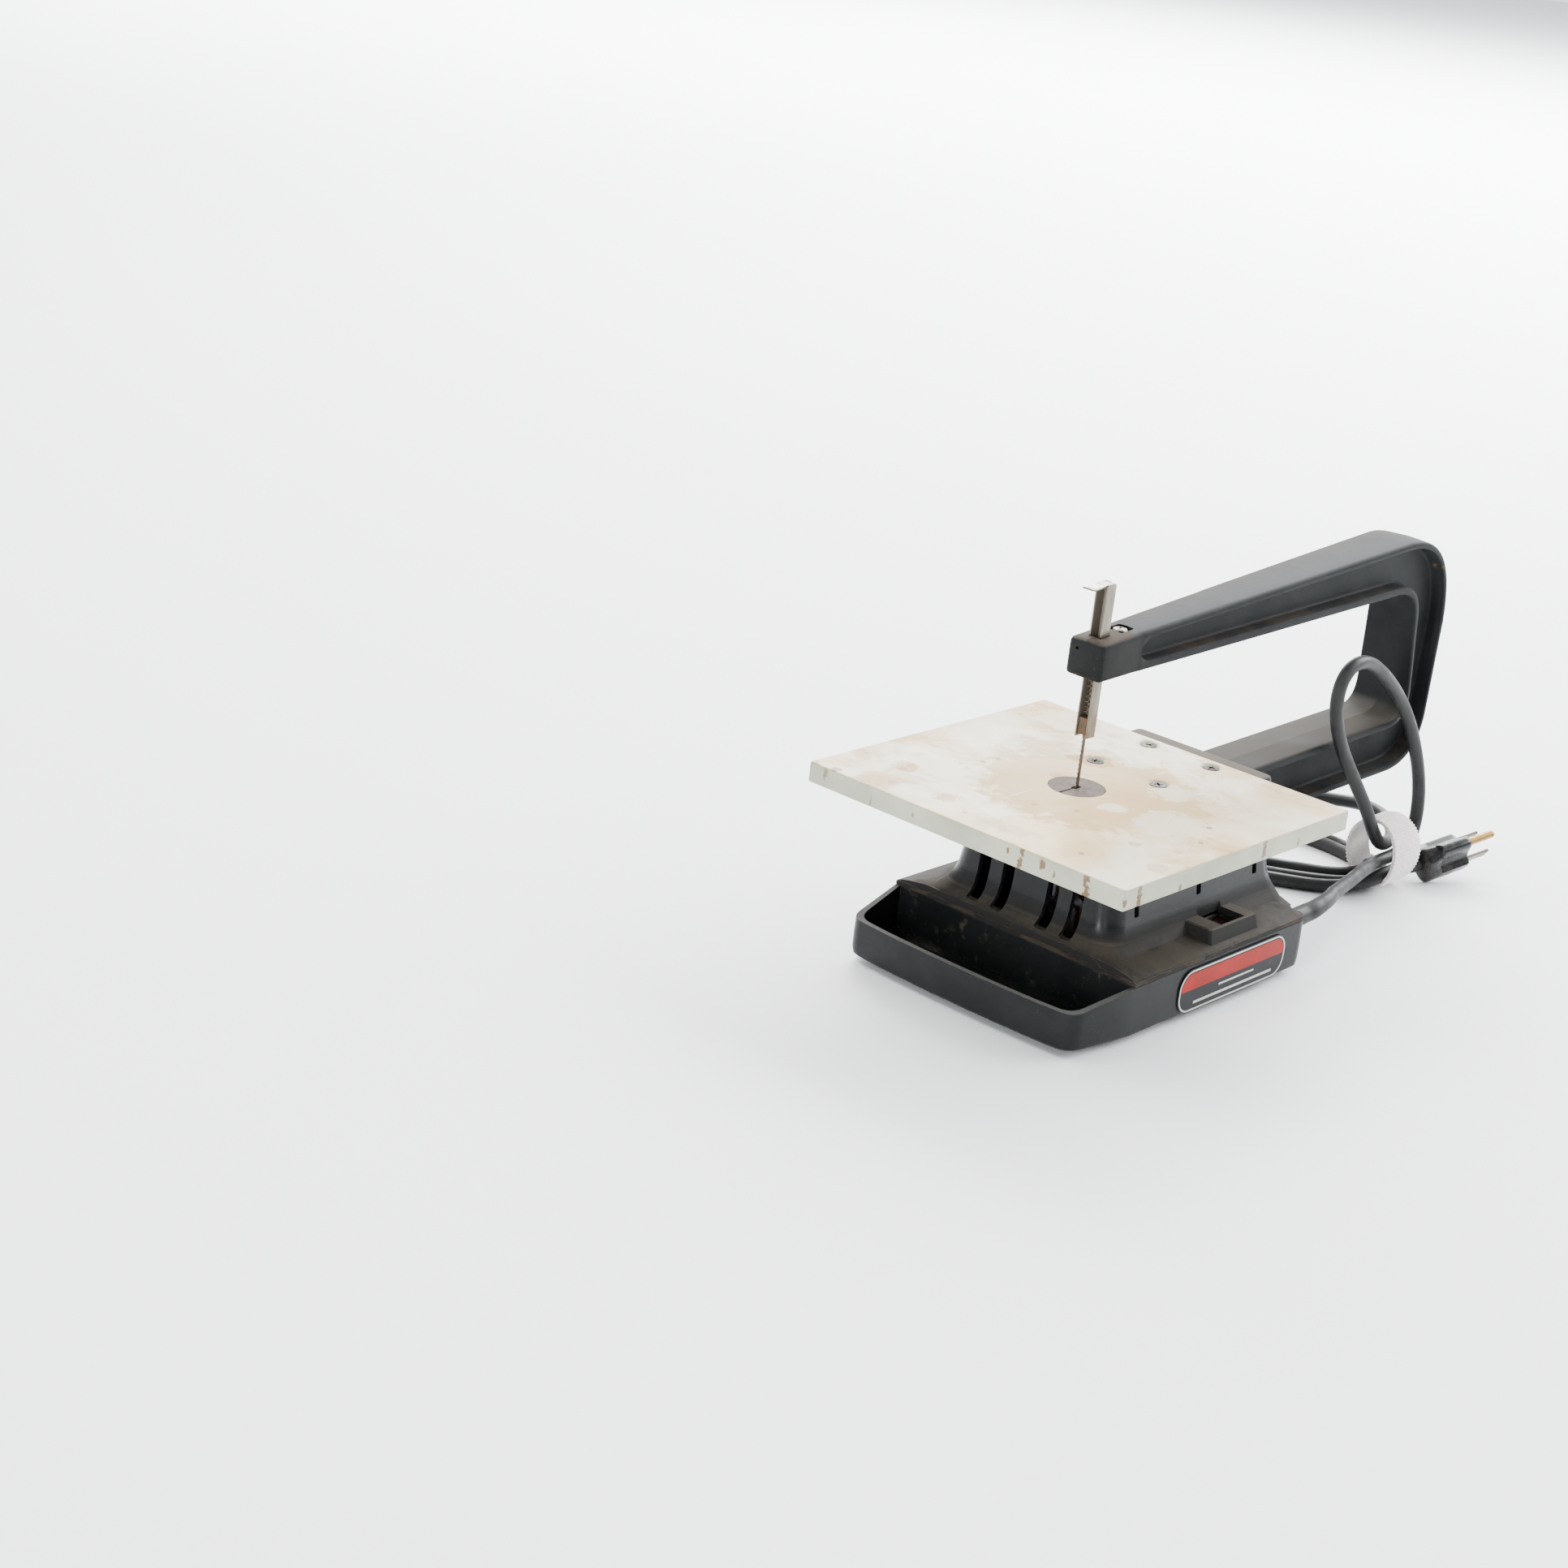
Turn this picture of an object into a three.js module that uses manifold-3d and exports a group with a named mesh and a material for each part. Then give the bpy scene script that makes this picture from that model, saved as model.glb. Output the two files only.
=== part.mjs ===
// Bench-top scroll saw: a moulded base and tower carry a shaded-pole motor that drives a short blade
// through a sheet-steel table. A C-shaped arm reaches over the table and guides the blade's upper end.
//
// Lengths are millimetres. Inside the saw group, x = 0 is the blade's plane, y = 0 the table's front edge
// and z = 0 the table's top. The group is then placed so that the feet stand on z = 0.

import * as THREE from 'three';
import { mergeVertices } from 'three/addons/utils/BufferGeometryUtils.js';
import Module from 'manifold-3d';

// ---------------------------------------------------------------- driving dimensions

const GAP = 0.3;                    // clearance between neighbouring pieces
const SHEET = 1.2;                  // table sheet
const WALL = 3;                     // moulded walls

const TABLE_HALF = 101.6;
const TABLE_DEPTH = 196.9;
const TABLE_LIP = 10.9;
const BLADE_Y = 94.8;
const INSERT_R = 14.9;

const ARM_REAR = 426;
const ARM_FLANGE = 5;
const ARM_NOSE_FRONT = 83.5;
const ARM_NOSE_BACK = 119;
const ARM_ROOT_FRONT = 126;
const ARM_ROOT_HALF = 17.8;
const ARM_ROOT_TOP = -17.5;
const ARM_BOTTOM = -46;

const FEET_BOTTOM = -105;
const BASE_BOTTOM = -101;
const BASE_FLOOR = BASE_BOTTOM + WALL;
const BASE_HALF = 80;
const BASE_FRONT = 11;
const BASE_FRONT_HALF = 74;
const BASE_REAR = 224;
const LEDGE_Y = 56;                 // where the deck ends and the open tray begins
const SEAM_Z = -74;                 // parting line between base tray and upper housing
const DECK_RIM_Z = -71.2;
const DECK_Z = -67.5;

const TOWER_TOP = -14;
const TOWER_REAR = 211.4;
const STRIP_TOP = -2;               // the tower's strip behind the table
const TABLE_SCREWS = [[-20.7, 138.4], [20.7, 138.4], [-20.7, 187], [20.7, 187]];
const HOUSING_SCREWS = [[-66, 74], [66, 74], [-66, 203], [66, 203]];
const FEET = [[-62, 32], [62, 32], [-66, 188], [66, 188]];

const BOSS = { x0: 54, x1: 74, y0: 128, y1: 170, top: -62 };
const SWITCH_HOLE = { x0: 55.5, x1: 72, y0: 139, y1: 160.5 };
const SWITCH_PIVOT = { y: 149.75, z: -72 };

const SHAFT_Z = -72;
const SHAFT_R = 3;
const CRANK_THROW = 4.75;           // half of the blade's stroke
const PLUNGER_R = 3;
const STATOR = { x0: -22, x1: 42, y0: 128, y1: 156, z0: -94, z1: -50 };
const COIL_WINDOW = { x0: 21, x1: 31, z0: -84, z1: -60 };
const MOTOR_SCREWS = [[-17, -55], [-17, -89]];
const FRONT_BRACKET_Y = STATOR.y0 - 11;
const REAR_BRACKET_Y = STATOR.y1 + 7;
const ARM_BOLTS = [146, 178];
const GUIDE_BOTTOM = -49;
const GUIDE_TOP = -32;
const GUIDE_BUSHES = [[GUIDE_BOTTOM + GAP, -42.5], [-38.5, GUIDE_TOP - GAP]];
const GUIDE_SCREWS_X = [-11, 11];
const GUIDE_SCREW_Z = -39;

const CHANNEL = { half: 3.75, front: 90.8, back: 98.8, bottom: 28, top: 110, sheet: 0.9 };
const HOOK_BOTTOM = 29.5;
const HOOK_TOP = 38.5;

const CORD_D = 7.9;
const CORD_EXIT = [70, 216, -77.4];
const TIE = { x: 33.5, y: 368, z: -86, width: 20, r: 18.3 };
const COIL = { x: -50, y: 343, long: 92, short: 47, bulge: 8, tilt: 16.3, thick: 22, top: -93.2 };
const PLUG = { face: [53.3, 426.8, -90.2], length: 34, azimuth: 16, rise: 10.4, roll: 39.3 };

// ---------------------------------------------------------------- solids

const wasm = await Module();
wasm.setup();

function toSolid(geometry) {
  const bare = geometry.clone();
  bare.deleteAttribute('normal');
  bare.deleteAttribute('uv');
  const merged = mergeVertices(bare, 1e-4);
  return new wasm.Manifold(new wasm.Mesh({
    numProp: 3,
    vertProperties: new Float32Array(merged.attributes.position.array),
    triVerts: new Uint32Array(merged.index.array),
  }));
}

function toGeometry(solid) {
  const mesh = solid.getMesh();
  const geometry = new THREE.BufferGeometry();
  geometry.setAttribute('position', new THREE.BufferAttribute(new Float32Array(mesh.vertProperties), 3));
  geometry.setIndex(new THREE.BufferAttribute(new Uint32Array(mesh.triVerts), 1));
  geometry.computeVertexNormals();
  return geometry;
}

function join(base, ...pieces) {
  return toGeometry(pieces.reduce((solid, piece) => solid.add(toSolid(piece)), toSolid(base)));
}

function cut(base, ...tools) {
  return toGeometry(tools.reduce((solid, tool) => solid.subtract(toSolid(tool)), toSolid(base)));
}

function block(x0, x1, y0, y1, z0, z1) {
  const geometry = new THREE.BoxGeometry(x1 - x0, y1 - y0, z1 - z0);
  return geometry.translate((x0 + x1) / 2, (y0 + y1) / 2, (z0 + z1) / 2);
}

function rodZ(x, y, z0, z1, r, segments = 16, rTop = r) {
  const geometry = new THREE.CylinderGeometry(rTop, r, z1 - z0, segments);
  return geometry.rotateX(Math.PI / 2).translate(x, y, (z0 + z1) / 2);
}

function rodY(x, z, y0, y1, r, segments = 16) {
  return new THREE.CylinderGeometry(r, r, y1 - y0, segments).translate(x, (y0 + y1) / 2, z);
}

function rodX(y, z, x0, x1, r, segments = 12) {
  const geometry = new THREE.CylinderGeometry(r, r, x1 - x0, segments);
  return geometry.rotateZ(Math.PI / 2).translate((x0 + x1) / 2, y, z);
}

// A plan outline, pulled up from z0 to z1.
function plate(shape, z0, z1, curveSegments = 3) {
  const geometry = new THREE.ExtrudeGeometry(shape, { depth: z1 - z0, bevelEnabled: false, curveSegments });
  return geometry.translate(0, 0, z0);
}

// A side outline drawn in (y, z), pulled along x from x0 to x1.
function sidePlate(shape, x0, x1, curveSegments = 4) {
  const geometry = new THREE.ExtrudeGeometry(shape, { depth: x1 - x0, bevelEnabled: false, curveSegments });
  const turn = new THREE.Matrix4().makeBasis(
    new THREE.Vector3(0, 1, 0), new THREE.Vector3(0, 0, 1), new THREE.Vector3(1, 0, 0));
  return geometry.applyMatrix4(turn).translate(x0, 0, 0);
}

// A front outline drawn in (x, z), pulled along y from y0 to y1.
function frontPlate(shape, y0, y1, curveSegments = 6) {
  const geometry = new THREE.ExtrudeGeometry(shape, { depth: y1 - y0, bevelEnabled: false, curveSegments });
  return geometry.rotateX(Math.PI / 2).translate(0, y1, 0);
}

function outline(points) {
  return new THREE.Shape(points.map(([x, y]) => new THREE.Vector2(x, y)));
}

function roundedRect(x0, x1, y0, y1, r) {
  const shape = new THREE.Shape();
  shape.moveTo(x0 + r, y0);
  shape.lineTo(x1 - r, y0);
  shape.absarc(x1 - r, y0 + r, r, -Math.PI / 2, 0);
  shape.lineTo(x1, y1 - r);
  shape.absarc(x1 - r, y1 - r, r, 0, Math.PI / 2);
  shape.lineTo(x0 + r, y1);
  shape.absarc(x0 + r, y1 - r, r, Math.PI / 2, Math.PI);
  shape.lineTo(x0, y0 + r);
  shape.absarc(x0 + r, y0 + r, r, Math.PI, Math.PI * 1.5);
  return shape;
}

// Skins a row of rings, all with the same number of points, and closes both ends with fans.
// Seen from the last ring, looking back at the first, every ring runs anticlockwise.
function loft(rings) {
  const count = rings[0].length;
  const positions = rings.flat().flatMap((p) => [p.x, p.y, p.z]);
  const index = [];
  for (let i = 0; i + 1 < rings.length; i++) {
    for (let j = 0; j < count; j++) {
      const a = i * count + j;
      const b = i * count + (j + 1) % count;
      index.push(a, b, b + count, a, b + count, a + count);
    }
  }
  const ends = [[rings[0], 0, true], [rings.at(-1), (rings.length - 1) * count, false]];
  for (const [ring, start, isFirst] of ends) {
    const hub = positions.length / 3;
    const centre = ring.reduce((sum, p) => sum.add(p), new THREE.Vector3()).divideScalar(count);
    positions.push(centre.x, centre.y, centre.z);
    for (let j = 0; j < count; j++) {
      const a = start + j;
      const b = start + (j + 1) % count;
      index.push(...(isFirst ? [b, a, hub] : [a, b, hub]));
    }
  }
  const geometry = new THREE.BufferGeometry();
  geometry.setAttribute('position', new THREE.Float32BufferAttribute(positions, 3));
  geometry.setIndex(index);
  return geometry;
}

// Drops each point that coincides with the one before it, going round.
function distinct(points) {
  return points.filter((p, i) => p.distanceTo(points.at(i - 1)) > 1e-6);
}

// The points of a plan shape, lifted to one height.
function ringAt(shape, z, divisions = 3) {
  const points = distinct(shape.getPoints(divisions));
  return points.map((p) => new THREE.Vector3(p.x, p.y, z));
}

// A tube of round section along a smooth curve through hand-picked points.
function tube(points, diameter, steps, sides = 8) {
  const curve = new THREE.CatmullRomCurve3(points.map((p) => new THREE.Vector3(...p)), false, 'centripetal');
  const section = new THREE.Shape();
  for (let i = 0; i < sides; i++) {
    const angle = (i / sides) * Math.PI * 2;
    const x = (diameter / 2) * Math.cos(angle);
    const y = (diameter / 2) * Math.sin(angle);
    if (i === 0) section.moveTo(x, y);
    else section.lineTo(x, y);
  }
  return new THREE.ExtrudeGeometry(section, { extrudePath: curve, steps });
}

// ---------------------------------------------------------------- base tray and feet

function basePlan(inset) {
  const half = BASE_HALF - inset;
  const frontHalf = BASE_FRONT_HALF - inset;
  const front = BASE_FRONT + inset;
  const sideRear = 214 - inset * 0.8;
  const rearHalf = 55 - inset * 0.4;
  const shape = new THREE.Shape();
  shape.moveTo(0, front);
  shape.quadraticCurveTo(frontHalf * 0.6, front, frontHalf - 8, front + 2.5);
  shape.quadraticCurveTo(frontHalf, front + 3.5, frontHalf + 1, front + 12);
  shape.lineTo(half, LEDGE_Y);
  shape.lineTo(half, 206);
  shape.quadraticCurveTo(half, sideRear - 2, half - 5, sideRear);
  shape.lineTo(rearHalf, BASE_REAR - inset);
  shape.lineTo(-rearHalf, BASE_REAR - inset);
  shape.lineTo(-half + 5, sideRear);
  shape.quadraticCurveTo(-half, sideRear - 2, -half, 206);
  shape.lineTo(-half, LEDGE_Y);
  shape.lineTo(-frontHalf - 1, front + 12);
  shape.quadraticCurveTo(-frontHalf, front + 3.5, -frontHalf + 8, front + 2.5);
  shape.quadraticCurveTo(-frontHalf * 0.6, front, 0, front);
  return shape;
}

function baseTrayGeometry() {
  const slope = outline([[0, -80.5], [17, -80.5], [LEDGE_Y, SEAM_Z], [LEDGE_Y, -60], [0, -60]]);
  const hollow = plate(basePlan(WALL), BASE_FLOOR, -60);
  const dividerY = LEDGE_Y + 1;
  const divider = block(-BASE_HALF + 1, BASE_HALF - 1, dividerY, dividerY + WALL, BASE_FLOOR - 1, SEAM_Z);
  const posts = HOUSING_SCREWS.map(([x, y]) => rodZ(x, y, BASE_FLOOR - 1, -82, 5.5, 12));
  const shanks = HOUSING_SCREWS.map(([x, y]) => rodZ(x, y, BASE_BOTTOM - 1, -70, 2.1, 8));
  const heads = HOUSING_SCREWS.map(([x, y]) => rodZ(x, y, BASE_BOTTOM - 1, BASE_BOTTOM + 4, 4.2, 12));
  const footHoles = FEET.map(([x, y]) => rodZ(x, y, BASE_BOTTOM - 1, BASE_FLOOR + 1, 2.5, 10));
  const shell = cut(plate(basePlan(0), BASE_BOTTOM, SEAM_Z), sidePlate(slope, -120, 120), hollow);
  return cut(join(shell, divider, ...posts), ...shanks, ...heads, ...footHoles, cordPassage());
}

function footGeometry(x, y) {
  const top = BASE_BOTTOM - GAP;
  const pad = rodZ(x, y, FEET_BOTTOM, top, 6.8, 16, 7.5);
  const stem = rodZ(x, y, top - 1, BASE_FLOOR + 1.4, 2.2, 10);
  const knob = rodZ(x, y, BASE_FLOOR + GAP, BASE_FLOOR + 1.8, 3.2, 12);
  return join(pad, stem, knob);
}

function housingScrewGeometry(x, y) {
  const head = rodZ(x, y, BASE_BOTTOM + 1.2, BASE_BOTTOM + 4 - GAP, 3.8, 12);
  const slot = block(x - 3, x + 3, y - 0.6, y + 0.6, BASE_BOTTOM, BASE_BOTTOM + 2.2);
  return cut(join(head, rodZ(x, y, BASE_BOTTOM + 3, -75, 1.8, 8)), slot);
}

// ---------------------------------------------------------------- upper housing

function towerRing(half, front, rear, z) {
  return ringAt(roundedRect(-half, half, front, rear, 13), z);
}

function towerOutside() {
  return loft([
    towerRing(66, 54.6, 221, -72.6),
    towerRing(61, 57, 220, -67),
    towerRing(57, 62.3, 218.5, -62),
    towerRing(54.4, 64.8, 216.5, -56),
    towerRing(53, 66, 214.5, -48),
    towerRing(50.2, 67.2, 213, -30),
    towerRing(47.4, 68, 212, TOWER_TOP),
    towerRing(44.7, 68.6, TOWER_REAR, STRIP_TOP),
  ]);
}

function towerInside() {
  return loft([
    towerRing(58, 60, 216, -80),
    towerRing(57, 61, 216, -67),
    towerRing(53.5, 65.6, 214.5, -62),
    towerRing(51.2, 67.9, 212.8, -56),
    towerRing(49.9, 69.1, 211, -48),
    towerRing(47.2, 70.3, 209.6, -30),
    towerRing(45, 71.2, 208.8, TOWER_TOP - WALL),
  ]);
}

function ventCuts() {
  const front = [-30.5, -14.7, 14.7, 30.5].map((x) => block(x - 3.75, x + 3.75, 55, 76, -65.8, -22));
  const sides = [87, 142, 194].flatMap((y) => [-1, 1].map((side) => {
    const x0 = Math.min(side * 40, side * 62);
    return block(x0, x0 + 22, y - 2, y + 2, -52, -22);
  }));
  return [...front, ...sides];
}

function cordPassage() {
  const [x, y, z] = CORD_EXIT;
  return join(rodY(x, z, 190, y + 20, 5.8, 16), rodY(x, z, 190, y - 4.4, 7.2, 16));
}

function upperHousingGeometry() {
  const rim = plate(basePlan(0.4), SEAM_Z + GAP, DECK_RIM_Z);
  const rimOnly = cut(rim, block(-120, 120, 0, LEDGE_Y, -100, 0));
  const crown = cut(loft([ringAt(basePlan(0.8), DECK_RIM_Z - 0.5), ringAt(basePlan(3), DECK_RIM_Z + 0.6),
    ringAt(basePlan(20), DECK_Z)]), block(-120, 120, 0, LEDGE_Y + 0.6, -100, 0));
  const under = cut(loft([ringAt(basePlan(7), SEAM_Z - 1), ringAt(basePlan(8), SEAM_Z + 0.5),
    ringAt(basePlan(23), DECK_Z - WALL)]), block(-120, 120, 0, LEDGE_Y + WALL, -100, 0));
  const boss = block(BOSS.x0, BOSS.x1, BOSS.y0, BOSS.y1, -73, BOSS.top);
  const posts = HOUSING_SCREWS.map(([x, y]) => rodZ(x, y, -82 + GAP, -70.5, 5.5, 12));
  const pilots = HOUSING_SCREWS.map(([x, y]) => rodZ(x, y, -90, -74.6, 2.1, 8));
  const overTable = block(-120, 120, 0, TABLE_DEPTH + 0.5, TOWER_TOP, 20);
  const body = cut(join(rimOnly, crown, towerOutside(), boss), overTable, towerInside(), under);
  const tableBosses = TABLE_SCREWS.map(([x, y]) => rodZ(x, y, TOWER_TOP - 1, -3.6, 5.5, 12));
  const tableHoles = TABLE_SCREWS.map(([x, y]) => rodZ(x, y, -19, 0, 2.4, 10));
  const switchHole = block(SWITCH_HOLE.x0, SWITCH_HOLE.x1, SWITCH_HOLE.y0, SWITCH_HOLE.y1, -80, -55);
  const armHalf = ARM_ROOT_HALF + GAP;
  const armHole = block(-armHalf, armHalf, 200, 230, ARM_BOTTOM - GAP, -11.9);
  const plungerHole = rodZ(0, BLADE_Y, -20, -10, 6, 20);
  return cut(join(body, ...posts, ...tableBosses), ...pilots, ...tableHoles, switchHole, armHole,
    plungerHole, ...ventCuts(), cordPassage());
}

// ---------------------------------------------------------------- table

function tableGeometry() {
  const pan = plate(roundedRect(-TABLE_HALF, TABLE_HALF, 0, TABLE_DEPTH, 1.6), -TABLE_LIP, 0, 4);
  const inner = plate(roundedRect(-TABLE_HALF + SHEET, TABLE_HALF - SHEET, SHEET, TABLE_DEPTH - SHEET, 0.6),
    -TABLE_LIP - 1, -SHEET, 4);
  const seat = rodZ(0, BLADE_Y, -2.6, -0.6, 18, 28);
  const dimples = TABLE_SCREWS.map(([x, y]) => rodZ(x, y, -3.2, -0.6, 3.8, 14, 7));
  const seatCut = rodZ(0, BLADE_Y, -SHEET - GAP, 1, INSERT_R + GAP, 28);
  const seatHole = rodZ(0, BLADE_Y, -4, 1, 12, 20);
  const cones = TABLE_SCREWS.map(([x, y]) => rodZ(x, y, -2.1, 0.01, 3, 14, 6));
  const holes = TABLE_SCREWS.map(([x, y]) => rodZ(x, y, -6, 0, 2.6, 10));
  return cut(join(cut(pan, inner), seat, ...dimples), seatCut, seatHole, ...cones, ...holes);
}

function tableInsertGeometry() {
  const disc = rodZ(0, BLADE_Y, -SHEET, 0, INSERT_R, 28);
  const hole = block(-1.6, 1.6, BLADE_Y - 3.4, BLADE_Y + 2.6, -3, 1);
  const slit = block(-0.6, 0.6, BLADE_Y - INSERT_R - 1, BLADE_Y - 3, -3, 1);
  return cut(disc, hole, slit);
}

function tableScrewGeometry(x, y) {
  const head = rodZ(x, y, -2.4, -0.5, 1.9, 14, 4.6);
  const shank = rodZ(x, y, -TABLE_LIP - 6, -2.2, 1.8, 10);
  const slotX = block(x - 2.6, x + 2.6, y - 0.45, y + 0.45, -1.6, 0);
  const slotY = block(x - 0.45, x + 0.45, y - 2.6, y + 2.6, -1.6, 0);
  return cut(join(head, shank), slotX, slotY);
}

// ---------------------------------------------------------------- arm

// Outer and inner outlines of the arm in (y, z), as matching runs of curve: upper beam, rear top bend,
// column, rear bottom bend and lower beam.
function armRuns() {
  const v = (y, z) => new THREE.Vector2(y, z);
  const line = (a, b) => new THREE.LineCurve(a, b);
  const bend = (a, c, b) => new THREE.QuadraticBezierCurve(a, c, b);
  return [
    {
      steps: 4,
      outer: line(v(ARM_NOSE_FRONT, 81.6), v(372, 100.4)),
      inner: line(v(ARM_NOSE_FRONT, 60.9), v(366, 68.8)),
    },
    {
      steps: 8,
      outer: bend(v(372, 100.4), v(424, 101), v(ARM_REAR, 45)),
      inner: bend(v(366, 68.8), v(387, 69.4), v(388.5, 50)),
    },
    {
      steps: 3,
      outer: line(v(ARM_REAR, 45), v(422, -14)),
      inner: line(v(388.5, 50), v(393.5, 8)),
    },
    {
      steps: 8,
      outer: bend(v(422, -14), v(418, -43), v(385, -43.4)),
      inner: bend(v(393.5, 8), v(395.5, -9), v(376, -9.2)),
    },
    {
      steps: 4,
      outer: line(v(385, -43.4), v(205, ARM_BOTTOM)),
      inner: line(v(376, -9.2), v(205, -12.6)),
    },
  ];
}

function armHalfWidth(y, z) {
  const reach = THREE.MathUtils.clamp((y - ARM_NOSE_FRONT) / 300, 0, 1);
  const upper = 10.2 + 5.6 * reach ** 0.8;
  const rise = THREE.MathUtils.smoothstep(z, -20, 65);
  return THREE.MathUtils.lerp(ARM_ROOT_HALF, upper, rise);
}

// One I-section across the arm, from its outer edge point to its inner one.
function armSection(outer, inner) {
  const across = inner.clone().sub(outer);
  const depth = across.length();
  across.divideScalar(depth);
  const point = (side, along, narrow) => {
    const at = outer.clone().addScaledVector(across, along);
    const half = armHalfWidth(at.x, at.y) * narrow;
    return new THREE.Vector3(side * half, at.x, at.y);
  };
  const web = 0.42;
  const steps = [[0, 1], [ARM_FLANGE, 1], [ARM_FLANGE + 0.6, web], [depth - ARM_FLANGE - 0.6, web],
    [depth - ARM_FLANGE, 1], [depth, 1]];
  return [
    ...steps.map(([along, narrow]) => point(1, along, narrow)),
    ...steps.reverse().map(([along, narrow]) => point(-1, along, narrow)),
  ];
}

function armGeometry() {
  const rings = [];
  armRuns().forEach(({ steps, outer, inner }, run) => {
    for (let i = run === 0 ? 0 : 1; i <= steps; i++) {
      rings.push(armSection(outer.getPoint(i / steps), inner.getPoint(i / steps)));
    }
  });
  const beam = loft(rings);
  const noseTop = 81.6 + (ARM_NOSE_BACK - ARM_NOSE_FRONT) * 0.065;
  const noseSide = outline([[ARM_NOSE_FRONT, 60.9], [ARM_NOSE_BACK, 61.9], [ARM_NOSE_BACK, noseTop],
    [ARM_NOSE_FRONT, 81.6]]);
  const nose = sidePlate(noseSide, -10.6, 10.6);
  const root = block(-ARM_ROOT_HALF, ARM_ROOT_HALF, ARM_ROOT_FRONT, 208, ARM_BOTTOM + 0.2, ARM_ROOT_TOP);
  const { half, front, back } = CHANNEL;
  const channelHole = block(-half - GAP, half + GAP, front - GAP, back + GAP, 50, 100);
  const lockPocket = block(-5, 5, 107, 118, 81, 90);
  const lockHole = rodZ(0, 112.5, 68, 90, 1.9, 14);
  const noseHole = rodY(-4.7, 75.7, 80, 86.5, 1.1, 12);
  const boltHoles = ARM_BOLTS.map((y) => rodZ(0, y, -60, 0, 3, 16));
  const guideHoles = GUIDE_SCREWS_X.map((x) => rodY(x, GUIDE_SCREW_Z, 120, 142, 2, 12));
  const holes = [channelHole, lockPocket, lockHole, noseHole, ...boltHoles, ...guideHoles];
  return cut(join(beam, nose, root), ...holes);
}

// A hexagon-headed bolt that clamps the arm's root to the tower's top plate.
function armBoltGeometry(y) {
  const head = rodZ(0, y, ARM_BOTTOM - 4, ARM_BOTTOM, 5.4, 6);
  return join(head, rodZ(0, y, ARM_BOTTOM - 1, ARM_ROOT_TOP + 0.2, 2.6, 14));
}

// ---------------------------------------------------------------- upper blade guide

function bladeChannelGeometry() {
  const { half, front, back, bottom, top, sheet } = CHANNEL;
  const outside = block(-half, half, front, back, bottom, top - 1.5);
  const inside = block(-half + sheet, half - sheet, front - 1, back - sheet, bottom - 1, top);
  const tabSide = outline([
    [back - sheet, top - 4], [back, top - 4], [back, top - 0.6], [back - 1.6, top], [86, top],
    [79.6, top - 1], [79.5, top - 1.8], [86, top - sheet], [back - 2, top - sheet],
    [back - sheet, top - 1.7],
  ]);
  const tab = sidePlate(tabSide, -half, half);
  const pinHole = rodX(94.3, 72, -6, 6, 1.1, 12);
  return cut(join(cut(outside, inside), tab), pinHole);
}

function springPinGeometry() {
  return rodX(94.3, 72, -CHANNEL.half, CHANNEL.half, 0.8, 12);
}

function tensionSpringGeometry() {
  const turns = 11;
  const perTurn = 6;
  const low = HOOK_TOP + GAP + 0.5;
  const high = 70.5;
  const points = Array.from({ length: turns * perTurn + 1 }, (_, i) => {
    const angle = (i / perTurn) * Math.PI * 2;
    const height = low + ((high - low) * i) / (turns * perTurn);
    return [1.75 * Math.cos(angle), 94.3 + 1.75 * Math.sin(angle), height];
  });
  return tube(points, 0.7, turns * perTurn, 4);
}

function upperBladeHookGeometry() {
  const rear = CHANNEL.back - CHANNEL.sheet - GAP;
  const body = block(-2.4, 2.4, CHANNEL.front + 0.8, rear, HOOK_BOTTOM, HOOK_TOP);
  const slot = block(-0.55, 0.55, BLADE_Y - 1.7, BLADE_Y + 1.7, HOOK_BOTTOM - 1, HOOK_TOP - 2.5);
  return cut(body, slot, rodX(BLADE_Y, 34, -4, 4, 0.9, 10));
}

// The lock screw sits in a pocket behind the channel and pinches it in the nose.
function channelLockScrewGeometry() {
  const head = rodZ(0, 112.5, 81.3, 83.6, 3.9, 20, 3.3);
  const cross = [block(-2.4, 2.4, 112.05, 112.95, 82.4, 85), block(-0.45, 0.45, 110.1, 114.9, 82.4, 85)];
  return cut(join(head, rodZ(0, 112.5, 68.5, 82, 1.6, 12)), ...cross);
}

// ---------------------------------------------------------------- blade and its drive

function bladeGeometry() {
  const pitch = 2.5;
  const tooth = 0.7;
  const top = HOOK_TOP - 2.8;
  const bottom = -29;
  const edge = BLADE_Y - 1.25;
  const points = [[BLADE_Y + 1.25, top], [edge, top]];
  for (let z = 27; z > -24; z -= pitch) points.push([edge, z], [edge + tooth, z - 0.6]);
  points.push([edge, -24], [edge, bottom], [BLADE_Y + 1.25, bottom]);
  const pinHoles = [34, -27.5].map((z) => rodX(BLADE_Y, z, -1, 1, 0.75, 8));
  return cut(sidePlate(outline(points), -0.25, 0.25), ...pinHoles);
}

function bladePinGeometry(z, half) {
  return rodX(BLADE_Y, z, -half, half, 0.5, 8);
}

function bladePlungerGeometry() {
  const rod = rodZ(0, BLADE_Y, -64.5, -20, PLUNGER_R);
  const yoke = block(-12, 12, BLADE_Y - 2, BLADE_Y + 2, -80, -64);
  const bladeSlot = block(-0.55, 0.55, BLADE_Y - 4, BLADE_Y + 4, -29.5, -19);
  const crankSlot = block(-8, 8, BLADE_Y - 4, BLADE_Y + 4, SHAFT_Z - 2.5, SHAFT_Z + 2.5);
  return cut(join(rod, yoke), bladeSlot, crankSlot, rodX(BLADE_Y, -27.5, -4, 4, 0.8, 8));
}

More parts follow.
